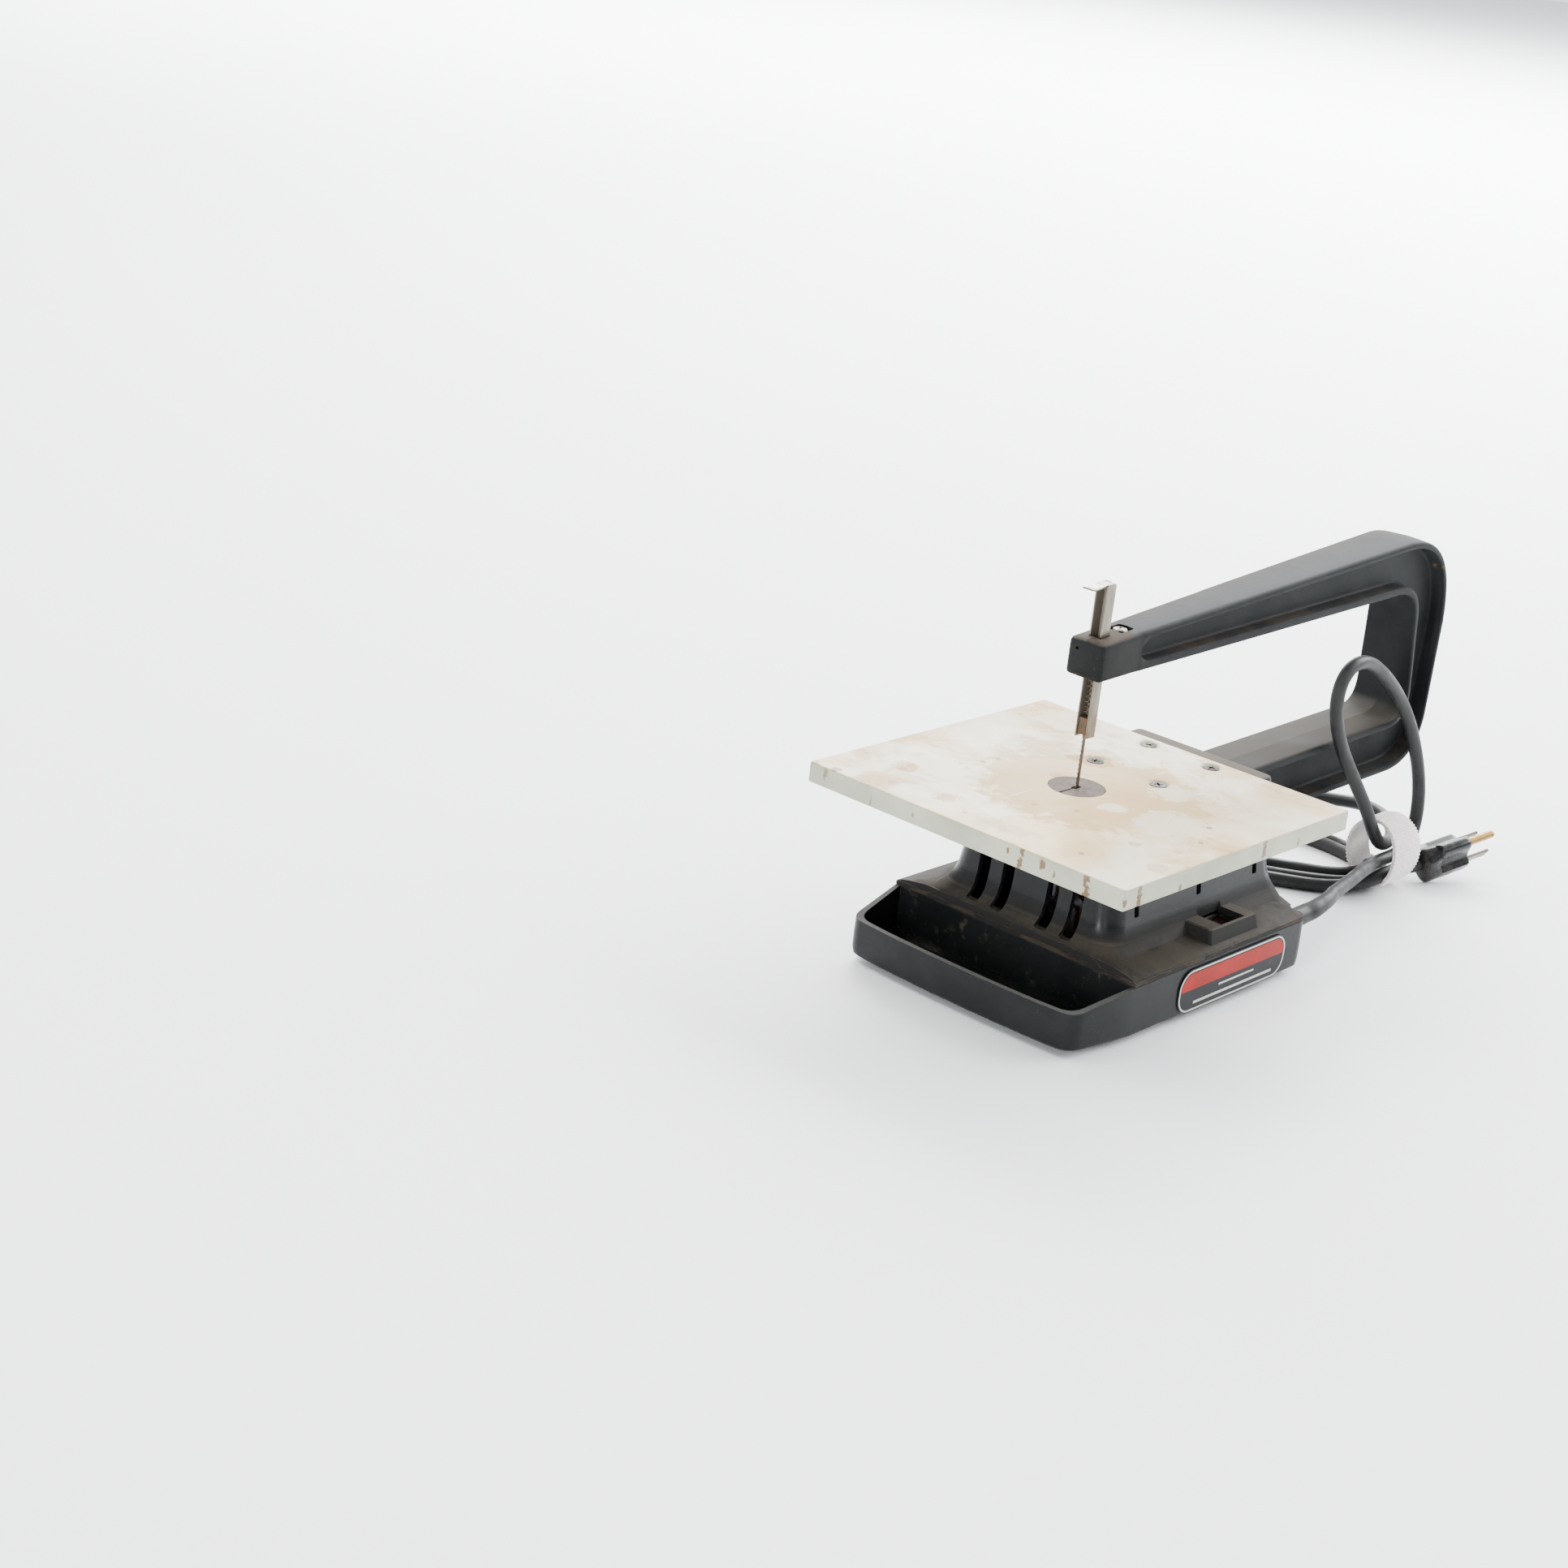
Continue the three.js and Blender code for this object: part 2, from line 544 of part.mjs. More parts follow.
function plungerGuideGeometry() {
  const body = block(-16, 16, BLADE_Y - 8, ARM_ROOT_FRONT - GAP, GUIDE_BOTTOM, GUIDE_TOP);
  const bushes = GUIDE_BUSHES.map(([z0, z1]) => rodZ(0, BLADE_Y, z0 - GAP, z1 + GAP, 5.3));
  const relief = rodZ(0, BLADE_Y, -60, -20, 4.2);
  const screws = GUIDE_SCREWS_X.map((x) => rodY(x, GUIDE_SCREW_Z, 80, 130, 2, 12));
  const lightening = block(-6, 6, BLADE_Y + 9, ARM_ROOT_FRONT - 5, -60, -20);
  return cut(body, ...bushes, relief, ...screws, lightening);
}

function guideBushGeometry([z0, z1]) {
  return cut(rodZ(0, BLADE_Y, z0, z1, 5), rodZ(0, BLADE_Y, z0 - 1, z1 + 1, PLUNGER_R + 0.08));
}

function guideScrewGeometry(x) {
  const front = BLADE_Y - 8;
  const head = rodY(x, GUIDE_SCREW_Z, front - 3, front - GAP, 3.4, 16);
  return join(head, rodY(x, GUIDE_SCREW_Z, front - 1, 140, 1.6, 12));
}

function crankDiscGeometry() {
  const disc = rodY(0, SHAFT_Z, 99.5, 105.5, 10, 24);
  const pin = rodY(CRANK_THROW, SHAFT_Z, BLADE_Y + PLUNGER_R + GAP, 101, 2, 12);
  return cut(join(disc, pin), rodY(0, SHAFT_Z, 101, 107, SHAFT_R + GAP));
}

// ---------------------------------------------------------------- motor

function motorShaftGeometry() {
  return rodY(0, SHAFT_Z, 101.3, 192, SHAFT_R);
}

function rotorGeometry() {
  const drum = rodY(0, SHAFT_Z, STATOR.y0 + 1, STATOR.y1 - 1, 15.6, 28);
  return cut(drum, rodY(0, SHAFT_Z, 120, 170, SHAFT_R + GAP));
}

function motorScrewHoles(r) {
  return MOTOR_SCREWS.map(([x, z]) => rodY(x, z, 100, 190, r, 12));
}

function statorCoreGeometry() {
  const stack = block(STATOR.x0, STATOR.x1, STATOR.y0, STATOR.y1, STATOR.z0, STATOR.z1);
  const window = block(COIL_WINDOW.x0, COIL_WINDOW.x1, 120, 170, COIL_WINDOW.z0, COIL_WINDOW.z1);
  return cut(stack, rodY(0, SHAFT_Z, 120, 170, 16.2, 28), window, ...motorScrewHoles(2));
}

function statorCoilGeometry() {
  const wound = plate(roundedRect(COIL_WINDOW.x0 + 1, 49.5, STATOR.y0 - 8, STATOR.y1 + 8, 4),
    COIL_WINDOW.z0 + 0.5, COIL_WINDOW.z1 - 0.5, 4);
  const leg = block(COIL_WINDOW.x1 - GAP, STATOR.x1 + GAP, STATOR.y0 - GAP, STATOR.y1 + GAP, -100, -40);
  return cut(wound, leg);
}

// A bearing bracket stands on the base floor and reaches over the end of the stator.
function motorBracketGeometry(face, side) {
  const plateFar = face + side * 7;
  const y0 = Math.min(plateFar, plateFar + side * 4);
  const legY0 = Math.min(face + side * GAP, plateFar + side);
  const legY1 = Math.max(face + side * GAP, plateFar + side);
  const web = block(-21, 20, y0, y0 + 4, BASE_FLOOR + GAP, STATOR.z1);
  const upperLeg = block(-21, 20, legY0, legY1, STATOR.z1 - 3, STATOR.z1);
  const lowerLeg = block(-21, 20, legY0, legY1, BASE_FLOOR + GAP, STATOR.z0 + 2);
  const hub = rodY(0, SHAFT_Z, y0 - 2, y0 + 6, 9, 16);
  const bore = rodY(0, SHAFT_Z, y0 - 4, y0 + 8, 6 + GAP, 16);
  return cut(join(web, upperLeg, lowerLeg, hub), bore, ...motorScrewHoles(2));
}

function shaftBushGeometry(y) {
  return cut(rodY(0, SHAFT_Z, y - 1.7, y + 5.7, 6), rodY(0, SHAFT_Z, y - 3, y + 7, SHAFT_R + 0.08));
}

function motorScrewGeometry(x, z) {
  const headFace = FRONT_BRACKET_Y - GAP;
  const head = rodY(x, z, headFace - 2.4, headFace, 3.2, 16);
  return join(head, rodY(x, z, headFace - 1, REAR_BRACKET_Y + 7, 1.6, 12));
}

function coolingFanGeometry() {
  const hub = rodY(0, SHAFT_Z, 176, 186, 7, 16);
  const blades = Array.from({ length: 6 }, (_, i) => {
    const blade = new THREE.BoxGeometry(13, 8, 1.4).rotateX(0.55).translate(12, 181, 0);
    return blade.rotateY((i / 6) * Math.PI * 2).translate(0, 0, SHAFT_Z);
  });
  return cut(join(hub, ...blades), rodY(0, SHAFT_Z, 170, 190, SHAFT_R + GAP));
}

// ---------------------------------------------------------------- switch

function switchBodyGeometry() {
  const { x0, x1, y0, y1 } = SWITCH_HOLE;
  const body = block(x0 + GAP, x1 - GAP, y0 + GAP, y1 - GAP, -92, -66);
  const pocket = block(x0 + 1.8, x1 - 1.8, y0 + 1.8, y1 - 1.8, -82, -60);
  return cut(body, pocket, rodX(SWITCH_PIVOT.y, SWITCH_PIVOT.z, x0 - 1, x1 + 1, 1.2, 12));
}

function switchRockerGeometry() {
  const { y, z } = SWITCH_PIVOT;
  const shape = outline([[y - 7.6, z - 0.6], [y - 2.6, z - 3.6], [y + 2.6, z - 3.6], [y + 7.6, z - 0.6],
    [y + 7.6, z + 4.6], [y, z + 2.9], [y - 7.6, z + 4.6]]);
  const rocker = sidePlate(shape, SWITCH_HOLE.x0 + 2.3, SWITCH_HOLE.x1 - 2.3);
  return cut(rocker, rodX(y, z, SWITCH_HOLE.x0, SWITCH_HOLE.x1, 1.1, 12));
}

function switchPinGeometry() {
  return rodX(SWITCH_PIVOT.y, SWITCH_PIVOT.z, SWITCH_HOLE.x0 + 0.6, SWITCH_HOLE.x1 - 0.6, 0.8, 12);
}

// ---------------------------------------------------------------- label, cord and plug

function labelPlateGeometry() {
  const shape = roundedRect(95.2, 193.4, -100.3, -75.6, 10.5);
  return sidePlate(shape, BASE_HALF + GAP, BASE_HALF + GAP + 0.6);
}

function strainReliefGeometry() {
  const [x0, , z0] = CORD_EXIT;
  const stations = [[x0, 208, z0, 6.7], [x0, 211, z0, 6.7], [x0, 211.4, z0, 5.4], [x0, 220, z0, 5.3],
    [71.6, 231, -75.8, 5], [71, 244, -74.2, 4.7], [67.6, 257, -74, 4.4]];
  const sides = 12;
  return loft(stations.map(([x, y, z, r]) => Array.from({ length: sides }, (_, j) => {
    const angle = (-j / sides) * Math.PI * 2;
    return new THREE.Vector3(x + r * Math.cos(angle), y, z + r * Math.sin(angle));
  })));
}

// The lead from the strain relief to the tie.
const LEAD_ROUTE = [
  [67.1, 258.8, -74], [64, 270, -75], [57, 296, -77.5], [49, 322, -80.4], [42, 342, -84.8],
  [37.8, 351, -87.2], [36, 356.8, -88.2],
];

// The standing loop, out of the tie's rear mouth, up beside the arm, over and back to the front mouth.
const LOOP_ROUTE = [
  [35.4, 378.8, -88.9], [36.2, 388, -87.6], [35.6, 397.5, -82], [34, 403, -73], [32, 405.5, -60],
  [29.5, 405.5, -47], [26.8, 400, -29], [24.8, 388, -8], [24, 370, 11], [24, 349, 27],
  [24, 327, 38], [24, 311, 38], [24, 301.5, 28.5], [24, 302, 14], [24.5, 312, -7],
  [26.4, 331, -32], [31, 345, -53], [33.8, 354, -69],
];

const TAIL_ROUTE = [[43.6, 378.9, -93], [43.6, 383.5, -94.1], [44.4, 388.8, -94.8], [45.6, 393.1, -94.1]];

function cordCoilGeometry() {
  const steps = 32;
  const first = 0.42;               // angles round the turn, in radians, where the winding leaves the tie
  const last = Math.PI * 2 - 0.1;
  const tilt = THREE.MathUtils.degToRad(COIL.tilt);
  const at = (angle, out) => {
    const along = (COIL.long + out) * Math.cos(angle);
    const aside = (COIL.short + COIL.bulge * Math.sin(angle / 2) ** 2 + out) * Math.sin(angle);
    return [
      COIL.x + along * Math.cos(tilt) - aside * Math.sin(tilt),
      COIL.y + along * Math.sin(tilt) + aside * Math.cos(tilt),
    ];
  };
  const rings = Array.from({ length: steps + 1 }, (_, i) => {
    const angle = first + ((last - first) * i) / steps;
    const [xi, yi] = at(angle, -COIL.thick / 2);
    const [xo, yo] = at(angle, COIL.thick / 2);
    const low = FEET_BOTTOM + 0.2;
    const corners = [[xi, yi, low], [xi, yi, COIL.top], [xo, yo, COIL.top], [xo, yo, low]];
    return corners.map((corner) => new THREE.Vector3(...corner));
  });
  return cut(loft(rings), block(0, 80, TIE.y - TIE.width / 2 - GAP, TIE.y + TIE.width, -120, -60));
}

function cordTieGeometry() {
  const { x, y, z, width, r } = TIE;
  return rodY(x, z, y - width / 2, y + width / 2, r, 24);
}

// The plug's pieces are made about its own axes: the middle of its face at 0, its pins along +y and the
// ground pin above the blades. This turns them to the way the plug lies.
function layPlug(geometry) {
  const { face, azimuth, rise, roll } = PLUG;
  geometry.rotateY(THREE.MathUtils.degToRad(roll));
  geometry.rotateX(THREE.MathUtils.degToRad(rise));
  geometry.rotateZ(THREE.MathUtils.degToRad(-azimuth));
  return geometry.translate(...face);
}

// Half of the plug's outline, from the top of its ridge down to its flat side: at the back and at the face.
const PLUG_BACK = [
  [3, 11.8], [5.2, 11], [6.2, 9.4], [7, 7.4], [7.9, 6.2], [9, 5.3], [10.8, 3.6], [11.1, -1.5],
  [10.6, -3.2], [9, -4.6],
];
const PLUG_FACE = [
  [2.2, 15.8], [3.6, 14.4], [4.1, 12], [4.6, 9], [5.6, 6.6], [7.1, 5.3], [9.8, 4.4], [11, 2.4],
  [10.7, -3.2], [9, -4.6],
];

function plugBodyGeometry() {
  const section = (y, share, scale) => {
    const half = PLUG_BACK.map(([x, z], i) => [
      (x + (PLUG_FACE[i][0] - x) * share) * scale,
      (z + (PLUG_FACE[i][1] - z) * share) * scale,
    ]);
    const mirrored = half.map(([x, z]) => [-x, z]).reverse();
    return [...half, ...mirrored].map(([x, z]) => new THREE.Vector3(x, y, z));
  };
  return layPlug(loft([
    section(-PLUG.length, 0, 0.62),
    section(-PLUG.length + 0.8, 0, 0.86),
    section(-PLUG.length + 3, 0, 0.97),
    section(-22.8, 0.3, 1),
    section(-22, 1, 1),
    section(-1, 1, 1),
    section(0, 1, 0.93),
  ]));
}

function plugBladeGeometry(side) {
  const middle = side * 6.35;
  return layPlug(block(middle - 0.75, middle + 0.75, GAP, 17.8, -3.2, 3.2));
}

function groundPinGeometry() {
  const shank = rodY(0, 11.5, GAP, 18.6, 2.4, 16);
  return layPlug(join(shank, new THREE.SphereGeometry(2.4, 16, 8).translate(0, 18.6, 11.5)));
}

// ---------------------------------------------------------------- materials

function finish(color, roughness, metalness = 0) {
  return new THREE.MeshStandardMaterial({ color, roughness, metalness });
}

const finishes = {
  casing: finish(0x1b1d1f, 0.55),
  armPlastic: finish(0x202427, 0.5),
  rubber: finish(0x1a1a1a, 0.9),
  paint: finish(0xd9d5c6, 0.45),
  insert: finish(0x8f877c, 0.5, 0.6),
  zinc: finish(0xb9b8b2, 0.35, 0.9),
  nickel: finish(0xa7a49a, 0.38, 0.9),
  darkSteel: finish(0x3a3733, 0.5, 0.8),
  castMetal: finish(0x8a8c8e, 0.5, 0.8),
  bronze: finish(0x9c7440, 0.5, 0.8),
  copper: finish(0x8b4a25, 0.45, 0.6),
  nylon: finish(0xd8d4c6, 0.5),
  red: finish(0x7a1c18, 0.45),
  label: finish(0xc04a3c, 0.5),
  cordRubber: finish(0x232322, 0.8),
  tieFabric: finish(0xe6dfdc, 0.95),
  plugVinyl: finish(0x141516, 0.4),
  brass: finish(0xb08a4a, 0.4, 0.9),
};

// ---------------------------------------------------------------- assembly

const saw = new THREE.Group();

function place(name, geometry, material) {
  const mesh = new THREE.Mesh(geometry, finishes[material]);
  mesh.name = name;
  saw.add(mesh);
}

place('base_tray', baseTrayGeometry(), 'casing');
place('upper_housing', upperHousingGeometry(), 'casing');
['front_left', 'front_right', 'rear_left', 'rear_right'].forEach((corner, i) => {
  place(`foot_${corner}`, footGeometry(...FEET[i]), 'rubber');
  place(`housing_screw_${corner}`, housingScrewGeometry(...HOUSING_SCREWS[i]), 'zinc');
  place(`table_screw_${corner}`, tableScrewGeometry(...TABLE_SCREWS[i]), 'zinc');
});
place('table', tableGeometry(), 'paint');
place('table_insert', tableInsertGeometry(), 'insert');
place('arm', armGeometry(), 'armPlastic');
ARM_BOLTS.forEach((y, i) => place(`arm_bolt_${['front', 'rear'][i]}`, armBoltGeometry(y), 'darkSteel'));

place('blade_channel', bladeChannelGeometry(), 'nickel');
place('channel_lock_screw', channelLockScrewGeometry(), 'zinc');
place('spring_pin', springPinGeometry(), 'darkSteel');
place('tension_spring', tensionSpringGeometry(), 'darkSteel');
place('upper_blade_hook', upperBladeHookGeometry(), 'darkSteel');
place('blade', bladeGeometry(), 'darkSteel');
place('blade_pin_upper', bladePinGeometry(34, 2.3), 'darkSteel');
place('blade_pin_lower', bladePinGeometry(-27.5, 2.8), 'darkSteel');
place('blade_plunger', bladePlungerGeometry(), 'zinc');
place('plunger_guide', plungerGuideGeometry(), 'castMetal');
place('guide_bush_lower', guideBushGeometry(GUIDE_BUSHES[0]), 'bronze');
place('guide_bush_upper', guideBushGeometry(GUIDE_BUSHES[1]), 'bronze');
GUIDE_SCREWS_X.forEach((x, i) => place(`guide_screw_${['left', 'right'][i]}`, guideScrewGeometry(x), 'zinc'));

place('crank_disc', crankDiscGeometry(), 'darkSteel');
place('motor_shaft', motorShaftGeometry(), 'zinc');
place('rotor', rotorGeometry(), 'castMetal');
place('stator_core', statorCoreGeometry(), 'darkSteel');
place('stator_coil', statorCoilGeometry(), 'copper');
place('motor_bracket_front', motorBracketGeometry(STATOR.y0, -1), 'castMetal');
place('motor_bracket_rear', motorBracketGeometry(STATOR.y1, 1), 'castMetal');
place('shaft_bush_front', shaftBushGeometry(FRONT_BRACKET_Y), 'bronze');
place('shaft_bush_rear', shaftBushGeometry(REAR_BRACKET_Y), 'bronze');
place('motor_screw_upper', motorScrewGeometry(...MOTOR_SCREWS[0]), 'zinc');
place('motor_screw_lower', motorScrewGeometry(...MOTOR_SCREWS[1]), 'zinc');
place('cooling_fan', coolingFanGeometry(), 'nylon');

place('switch_body', switchBodyGeometry(), 'casing');
place('switch_rocker', switchRockerGeometry(), 'red');
place('switch_pin', switchPinGeometry(), 'zinc');
place('label_plate', labelPlateGeometry(), 'label');

place('strain_relief', strainReliefGeometry(), 'cordRubber');
place('cord_lead', tube(LEAD_ROUTE, CORD_D, 7), 'cordRubber');
place('cord_loop', tube(LOOP_ROUTE, CORD_D, 30), 'cordRubber');
place('cord_tail', tube(TAIL_ROUTE, CORD_D, 3), 'cordRubber');
place('cord_coil', cordCoilGeometry(), 'cordRubber');
place('cord_tie', cordTieGeometry(), 'tieFabric');
place('plug_body', plugBodyGeometry(), 'plugVinyl');
place('plug_blade_lower', plugBladeGeometry(1), 'zinc');
place('plug_blade_upper', plugBladeGeometry(-1), 'zinc');
place('ground_pin', groundPinGeometry(), 'brass');

saw.position.set(0, -ARM_REAR / 2, -FEET_BOTTOM);

const group = new THREE.Group();
group.add(saw);

export default group;
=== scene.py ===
"""Bench scroll saw: the visible surfaces, cord, materials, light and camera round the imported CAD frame.

Lengths in this file are millimetres in the saw's own terms: x = 0 is the blade's plane, y = 0 the table's
front edge and z = 0 the table's top. saw() turns them into metres in the frame that the CAD model uses.
"""

import math

import bmesh
import bpy
from mathutils import Matrix, Vector


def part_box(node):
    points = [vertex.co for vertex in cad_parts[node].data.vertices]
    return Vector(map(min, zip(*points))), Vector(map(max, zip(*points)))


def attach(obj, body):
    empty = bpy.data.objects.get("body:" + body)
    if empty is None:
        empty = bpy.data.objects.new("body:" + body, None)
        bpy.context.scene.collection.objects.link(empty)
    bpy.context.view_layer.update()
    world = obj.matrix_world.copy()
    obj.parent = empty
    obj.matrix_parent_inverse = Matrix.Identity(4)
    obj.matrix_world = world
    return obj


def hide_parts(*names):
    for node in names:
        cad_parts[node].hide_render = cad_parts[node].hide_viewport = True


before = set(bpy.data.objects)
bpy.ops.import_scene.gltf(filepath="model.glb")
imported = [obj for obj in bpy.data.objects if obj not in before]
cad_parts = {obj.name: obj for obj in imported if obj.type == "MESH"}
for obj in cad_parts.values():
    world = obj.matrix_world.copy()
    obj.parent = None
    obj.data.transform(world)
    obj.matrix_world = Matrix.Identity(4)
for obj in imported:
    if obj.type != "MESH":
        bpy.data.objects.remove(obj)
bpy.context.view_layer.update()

MM = 0.001
TABLE_LOW, TABLE_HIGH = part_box("table")
ORIGIN = Vector((0.0, TABLE_LOW.y, TABLE_HIGH.z))
FLOOR_Z = -TABLE_HIGH.z / MM


def saw(x, y, z):
    """A point in saw millimetres as a point in metres in the frame."""
    return ORIGIN + Vector((x, y, z)) * MM


# ---- camera, floor and light

CAMERA_PLACE = (735.4, -969.2, 452.4)
CAMERA_AZIMUTH = math.radians(41.34)
CAMERA_ELEVATION = math.radians(20.02)
CAMERA_ROLL = math.radians(6.14)
CAMERA_LENS = 60.476


def make_camera():
    a, e, r = CAMERA_AZIMUTH, CAMERA_ELEVATION, CAMERA_ROLL
    back = Vector((math.sin(a) * math.cos(e), -math.cos(a) * math.cos(e), math.sin(e)))
    right = Vector((0, 0, 1)).cross(back).normalized()
    up = back.cross(right)
    turned_right = right * math.cos(r) + up * math.sin(r)
    turned_up = up * math.cos(r) - right * math.sin(r)
    data = bpy.data.cameras.new("camera")
    data.lens = CAMERA_LENS
    data.sensor_width = 36
    camera = bpy.data.objects.new("camera", data)
    turn = Matrix((turned_right, turned_up, back)).transposed().to_4x4()
    camera.matrix_world = Matrix.Translation(saw(*CAMERA_PLACE)) @ turn
    bpy.context.scene.collection.objects.link(camera)
    bpy.context.scene.camera = camera


def make_light(name, place, width, height, power, colour=(1, 1, 1), aim=(0, 0, 0.05)):
    """A soft rectangular light that faces a point, the saw unless another is given."""
    data = bpy.data.lights.new(name, "AREA")
    data.shape = "RECTANGLE"
    data.size = width
    data.size_y = height
    data.energy = power
    data.color = colour
    light = bpy.data.objects.new(name, data)
    light.location = place
    light.rotation_euler = (Vector(aim) - Vector(place)).to_track_quat("-Z", "Y").to_euler()
    bpy.context.scene.collection.objects.link(light)


def make_world():
    """White paper behind the saw, as the camera sees it, and a dim room on the camera's side."""
    world = bpy.data.worlds.new("studio")
    bpy.context.scene.world = world
    world.use_nodes = True
    tree = world.node_tree
    place = tree.nodes.new("ShaderNodeTexCoord")
    facing = tree.nodes.new("ShaderNodeVectorMath")
    facing.operation = "DOT_PRODUCT"
    facing.inputs[1].default_value = (-math.sin(CAMERA_AZIMUTH), math.cos(CAMERA_AZIMUTH), 0.35)
    spread = tree.nodes.new("ShaderNodeMapRange")
    spread.interpolation_type = "SMOOTHSTEP"
    spread.inputs["From Min"].default_value = -0.7
    spread.inputs["From Max"].default_value = 0.8
    spread.inputs["To Min"].default_value = 0.3
    spread.inputs["To Max"].default_value = 1.7
    background = tree.nodes["Background"]
    background.inputs["Color"].default_value = (0.95, 0.975, 1.0, 1)
    tree.links.new(place.outputs["Generated"], facing.inputs[0])
    tree.links.new(facing.outputs["Value"], spread.inputs["Value"])
    tree.links.new(spread.outputs["Result"], background.inputs["Strength"])


def make_studio():
    """The paper light hangs over the floor behind the saw and turns it white."""
    make_world()
    make_light("key", (-1.1, -0.7, 2.0), 1.6, 1.2, 46, (1.0, 0.985, 0.96))
    make_light("rear", (-1.5, 1.3, 1.8), 0.9, 0.7, 44, (1.0, 0.99, 0.97))
    make_light("side", (2.0, 0.1, 0.9), 0.3, 1.3, 4, (0.94, 0.97, 1.0))
    make_light("front", (0.3, -2.1, 0.5), 0.14, 0.95, 34, (0.96, 0.98, 1.0))
    make_light("front_right", (1.15, -1.8, 0.45), 0.1, 0.9, 6, (0.96, 0.98, 1.0))
    make_light("paper", (-1.5, 4.8, 2.6), 11.4, 5.2, 3200, (0.97, 0.985, 1.0), (-1.5, 4.8, 0))
    Shader("floor_paint").set(colour=(0.90, 0.915, 0.93), roughness=0.7)
    corners = [(-14, -14, 0), (14, -14, 0), (14, 14, 0), (-14, 14, 0)]
    floor = mesh_object("floor", corners, [(0, 1, 2, 3)])
    floor.data.materials.append(MATERIALS["floor_paint"])


# ---- mesh helpers


def mesh_object(name, points, faces):
    mesh = bpy.data.meshes.new(name)
    mesh.from_pydata(points, [], faces)
    work = bmesh.new()
    work.from_mesh(mesh)
    bmesh.ops.remove_doubles(work, verts=work.verts, dist=1e-7)
    bmesh.ops.recalc_face_normals(work, faces=work.faces)
    work.to_mesh(mesh)
    work.free()
    made = bpy.data.objects.new(name, mesh)
    bpy.context.scene.collection.objects.link(made)
    return made


def loft(name, rings, closed=False):
    """A skin over rings of equally many points, in saw millimetres, capped unless it closes on itself."""
    count = len(rings[0])
    points = [saw(*p) for ring in rings for p in ring]
    faces = []
    for i in range(len(rings) if closed else len(rings) - 1):
        low, high = i * count, ((i + 1) % len(rings)) * count
        for j in range(count):
            k = (j + 1) % count
            faces.append((low + j, low + k, high + k, high + j))
    if not closed:
        faces.append(tuple(range(count))[::-1])
        faces.append(tuple(range(len(points) - count, len(points))))
    return mesh_object(name, points, faces)


def flat(outline, z):
    """An outline in (x, y) as a ring at one height."""
    return [(x, y, z) for x, y in outline]


def upright(outline, y):
    """An outline in (x, z) as a ring across the saw."""
    return [(x, y, z) for x, z in outline]


def plate(name, outline, z0, z1):
    """A plan outline in (x, y), given a height."""
    return loft(name, [flat(outline, z0), flat(outline, z1)])


def side_plate(name, outline, x0, x1):
    """A side outline in (y, z), given a width."""
    return loft(name, [[(x, y, z) for y, z in outline] for x in (x0, x1)])


def rectangle(a0, a1, b0, b1):
    return [(a0, b0), (a1, b0), (a1, b1), (a0, b1)]


def block(name, x0, x1, y0, y1, z0, z1):
    return plate(name, rectangle(x0, x1, y0, y1), z0, z1)


def arc(x, y, r, start, end, steps):
    """Points along an arc, both its ends included, with its angles in degrees."""
    turns = [math.radians(start + (end - start) * i / steps) for i in range(steps + 1)]
    return [(x + r * math.cos(t), y + r * math.sin(t)) for t in turns]


def circle(x, y, r, count=48):
    return arc(x, y, r, 0, 360, count)[:-1]


def lathe(name, x, y, profile, count=48):
    """A round solid about a vertical axis, from (radius, z) stations."""
    return loft(name, [flat(circle(x, y, r, count), z) for r, z in profile])


def lathe_y(name, x, z, profile, count=48):
    """A round solid about an axis along Y, from (radius, y) stations."""
    return loft(name, [upright(circle(x, z, r, count), y) for r, y in profile])


def rods(places, r, z0, z1):
    """Upright rods of one size, as posts or as drills."""
    return [lathe("rod", x, y, [(r, z0), (r, z1)], 24) for x, y in places]


def rounded_rect(x0, x1, y0, y1, r, steps=6):
    centres = [(x1 - r, y1 - r), (x0 + r, y1 - r), (x0 + r, y0 + r), (x1 - r, y0 + r)]
    return [point for i, (x, y) in enumerate(centres) for point in arc(x, y, r, 90 * i, 90 * i + 90, steps)]


def bezier(a, c, b, steps):
    """Points along a quadratic curve, without its first one."""
    shares = [i / steps for i in range(1, steps + 1)]
    return [
        tuple(p * (1 - t) ** 2 + 2 * q * t * (1 - t) + r * t ** 2 for p, q, r in zip(a, c, b))
        for t in shares
    ]


def combine(base, pieces, operation):
    """Joins or cuts a solid with others, which are used up."""
    for piece in pieces:
        modifier = base.modifiers.new("combine", "BOOLEAN")
        modifier.operation = operation
        modifier.solver = "EXACT"
        modifier.object = piece
        with bpy.context.temp_override(object=base, active_object=base):
            bpy.ops.object.modifier_apply(modifier=modifier.name)
        bpy.data.objects.remove(piece)
    return base


def cut(base, *tools):
    return combine(base, tools, "DIFFERENCE")


def join(base, *pieces):
    return combine(base, pieces, "UNION")


def smooth(piece, angle=35, ridge=False):
    """Smooth shading that keeps edges sharper than the angle crisp, and a ridge along x = 0 if there is one."""
    limit = math.radians(angle)
    work = bmesh.new()
    work.from_mesh(piece.data)
    for face in work.faces:
        face.smooth = True
    for edge in work.edges:
        edge.smooth = len(edge.link_faces) == 2 and edge.calc_face_angle(0) < limit
        if ridge and max(abs(v.co.x) for v in edge.verts) < 0.01 * MM:
            edge.smooth = False
    work.to_mesh(piece.data)
    work.free()


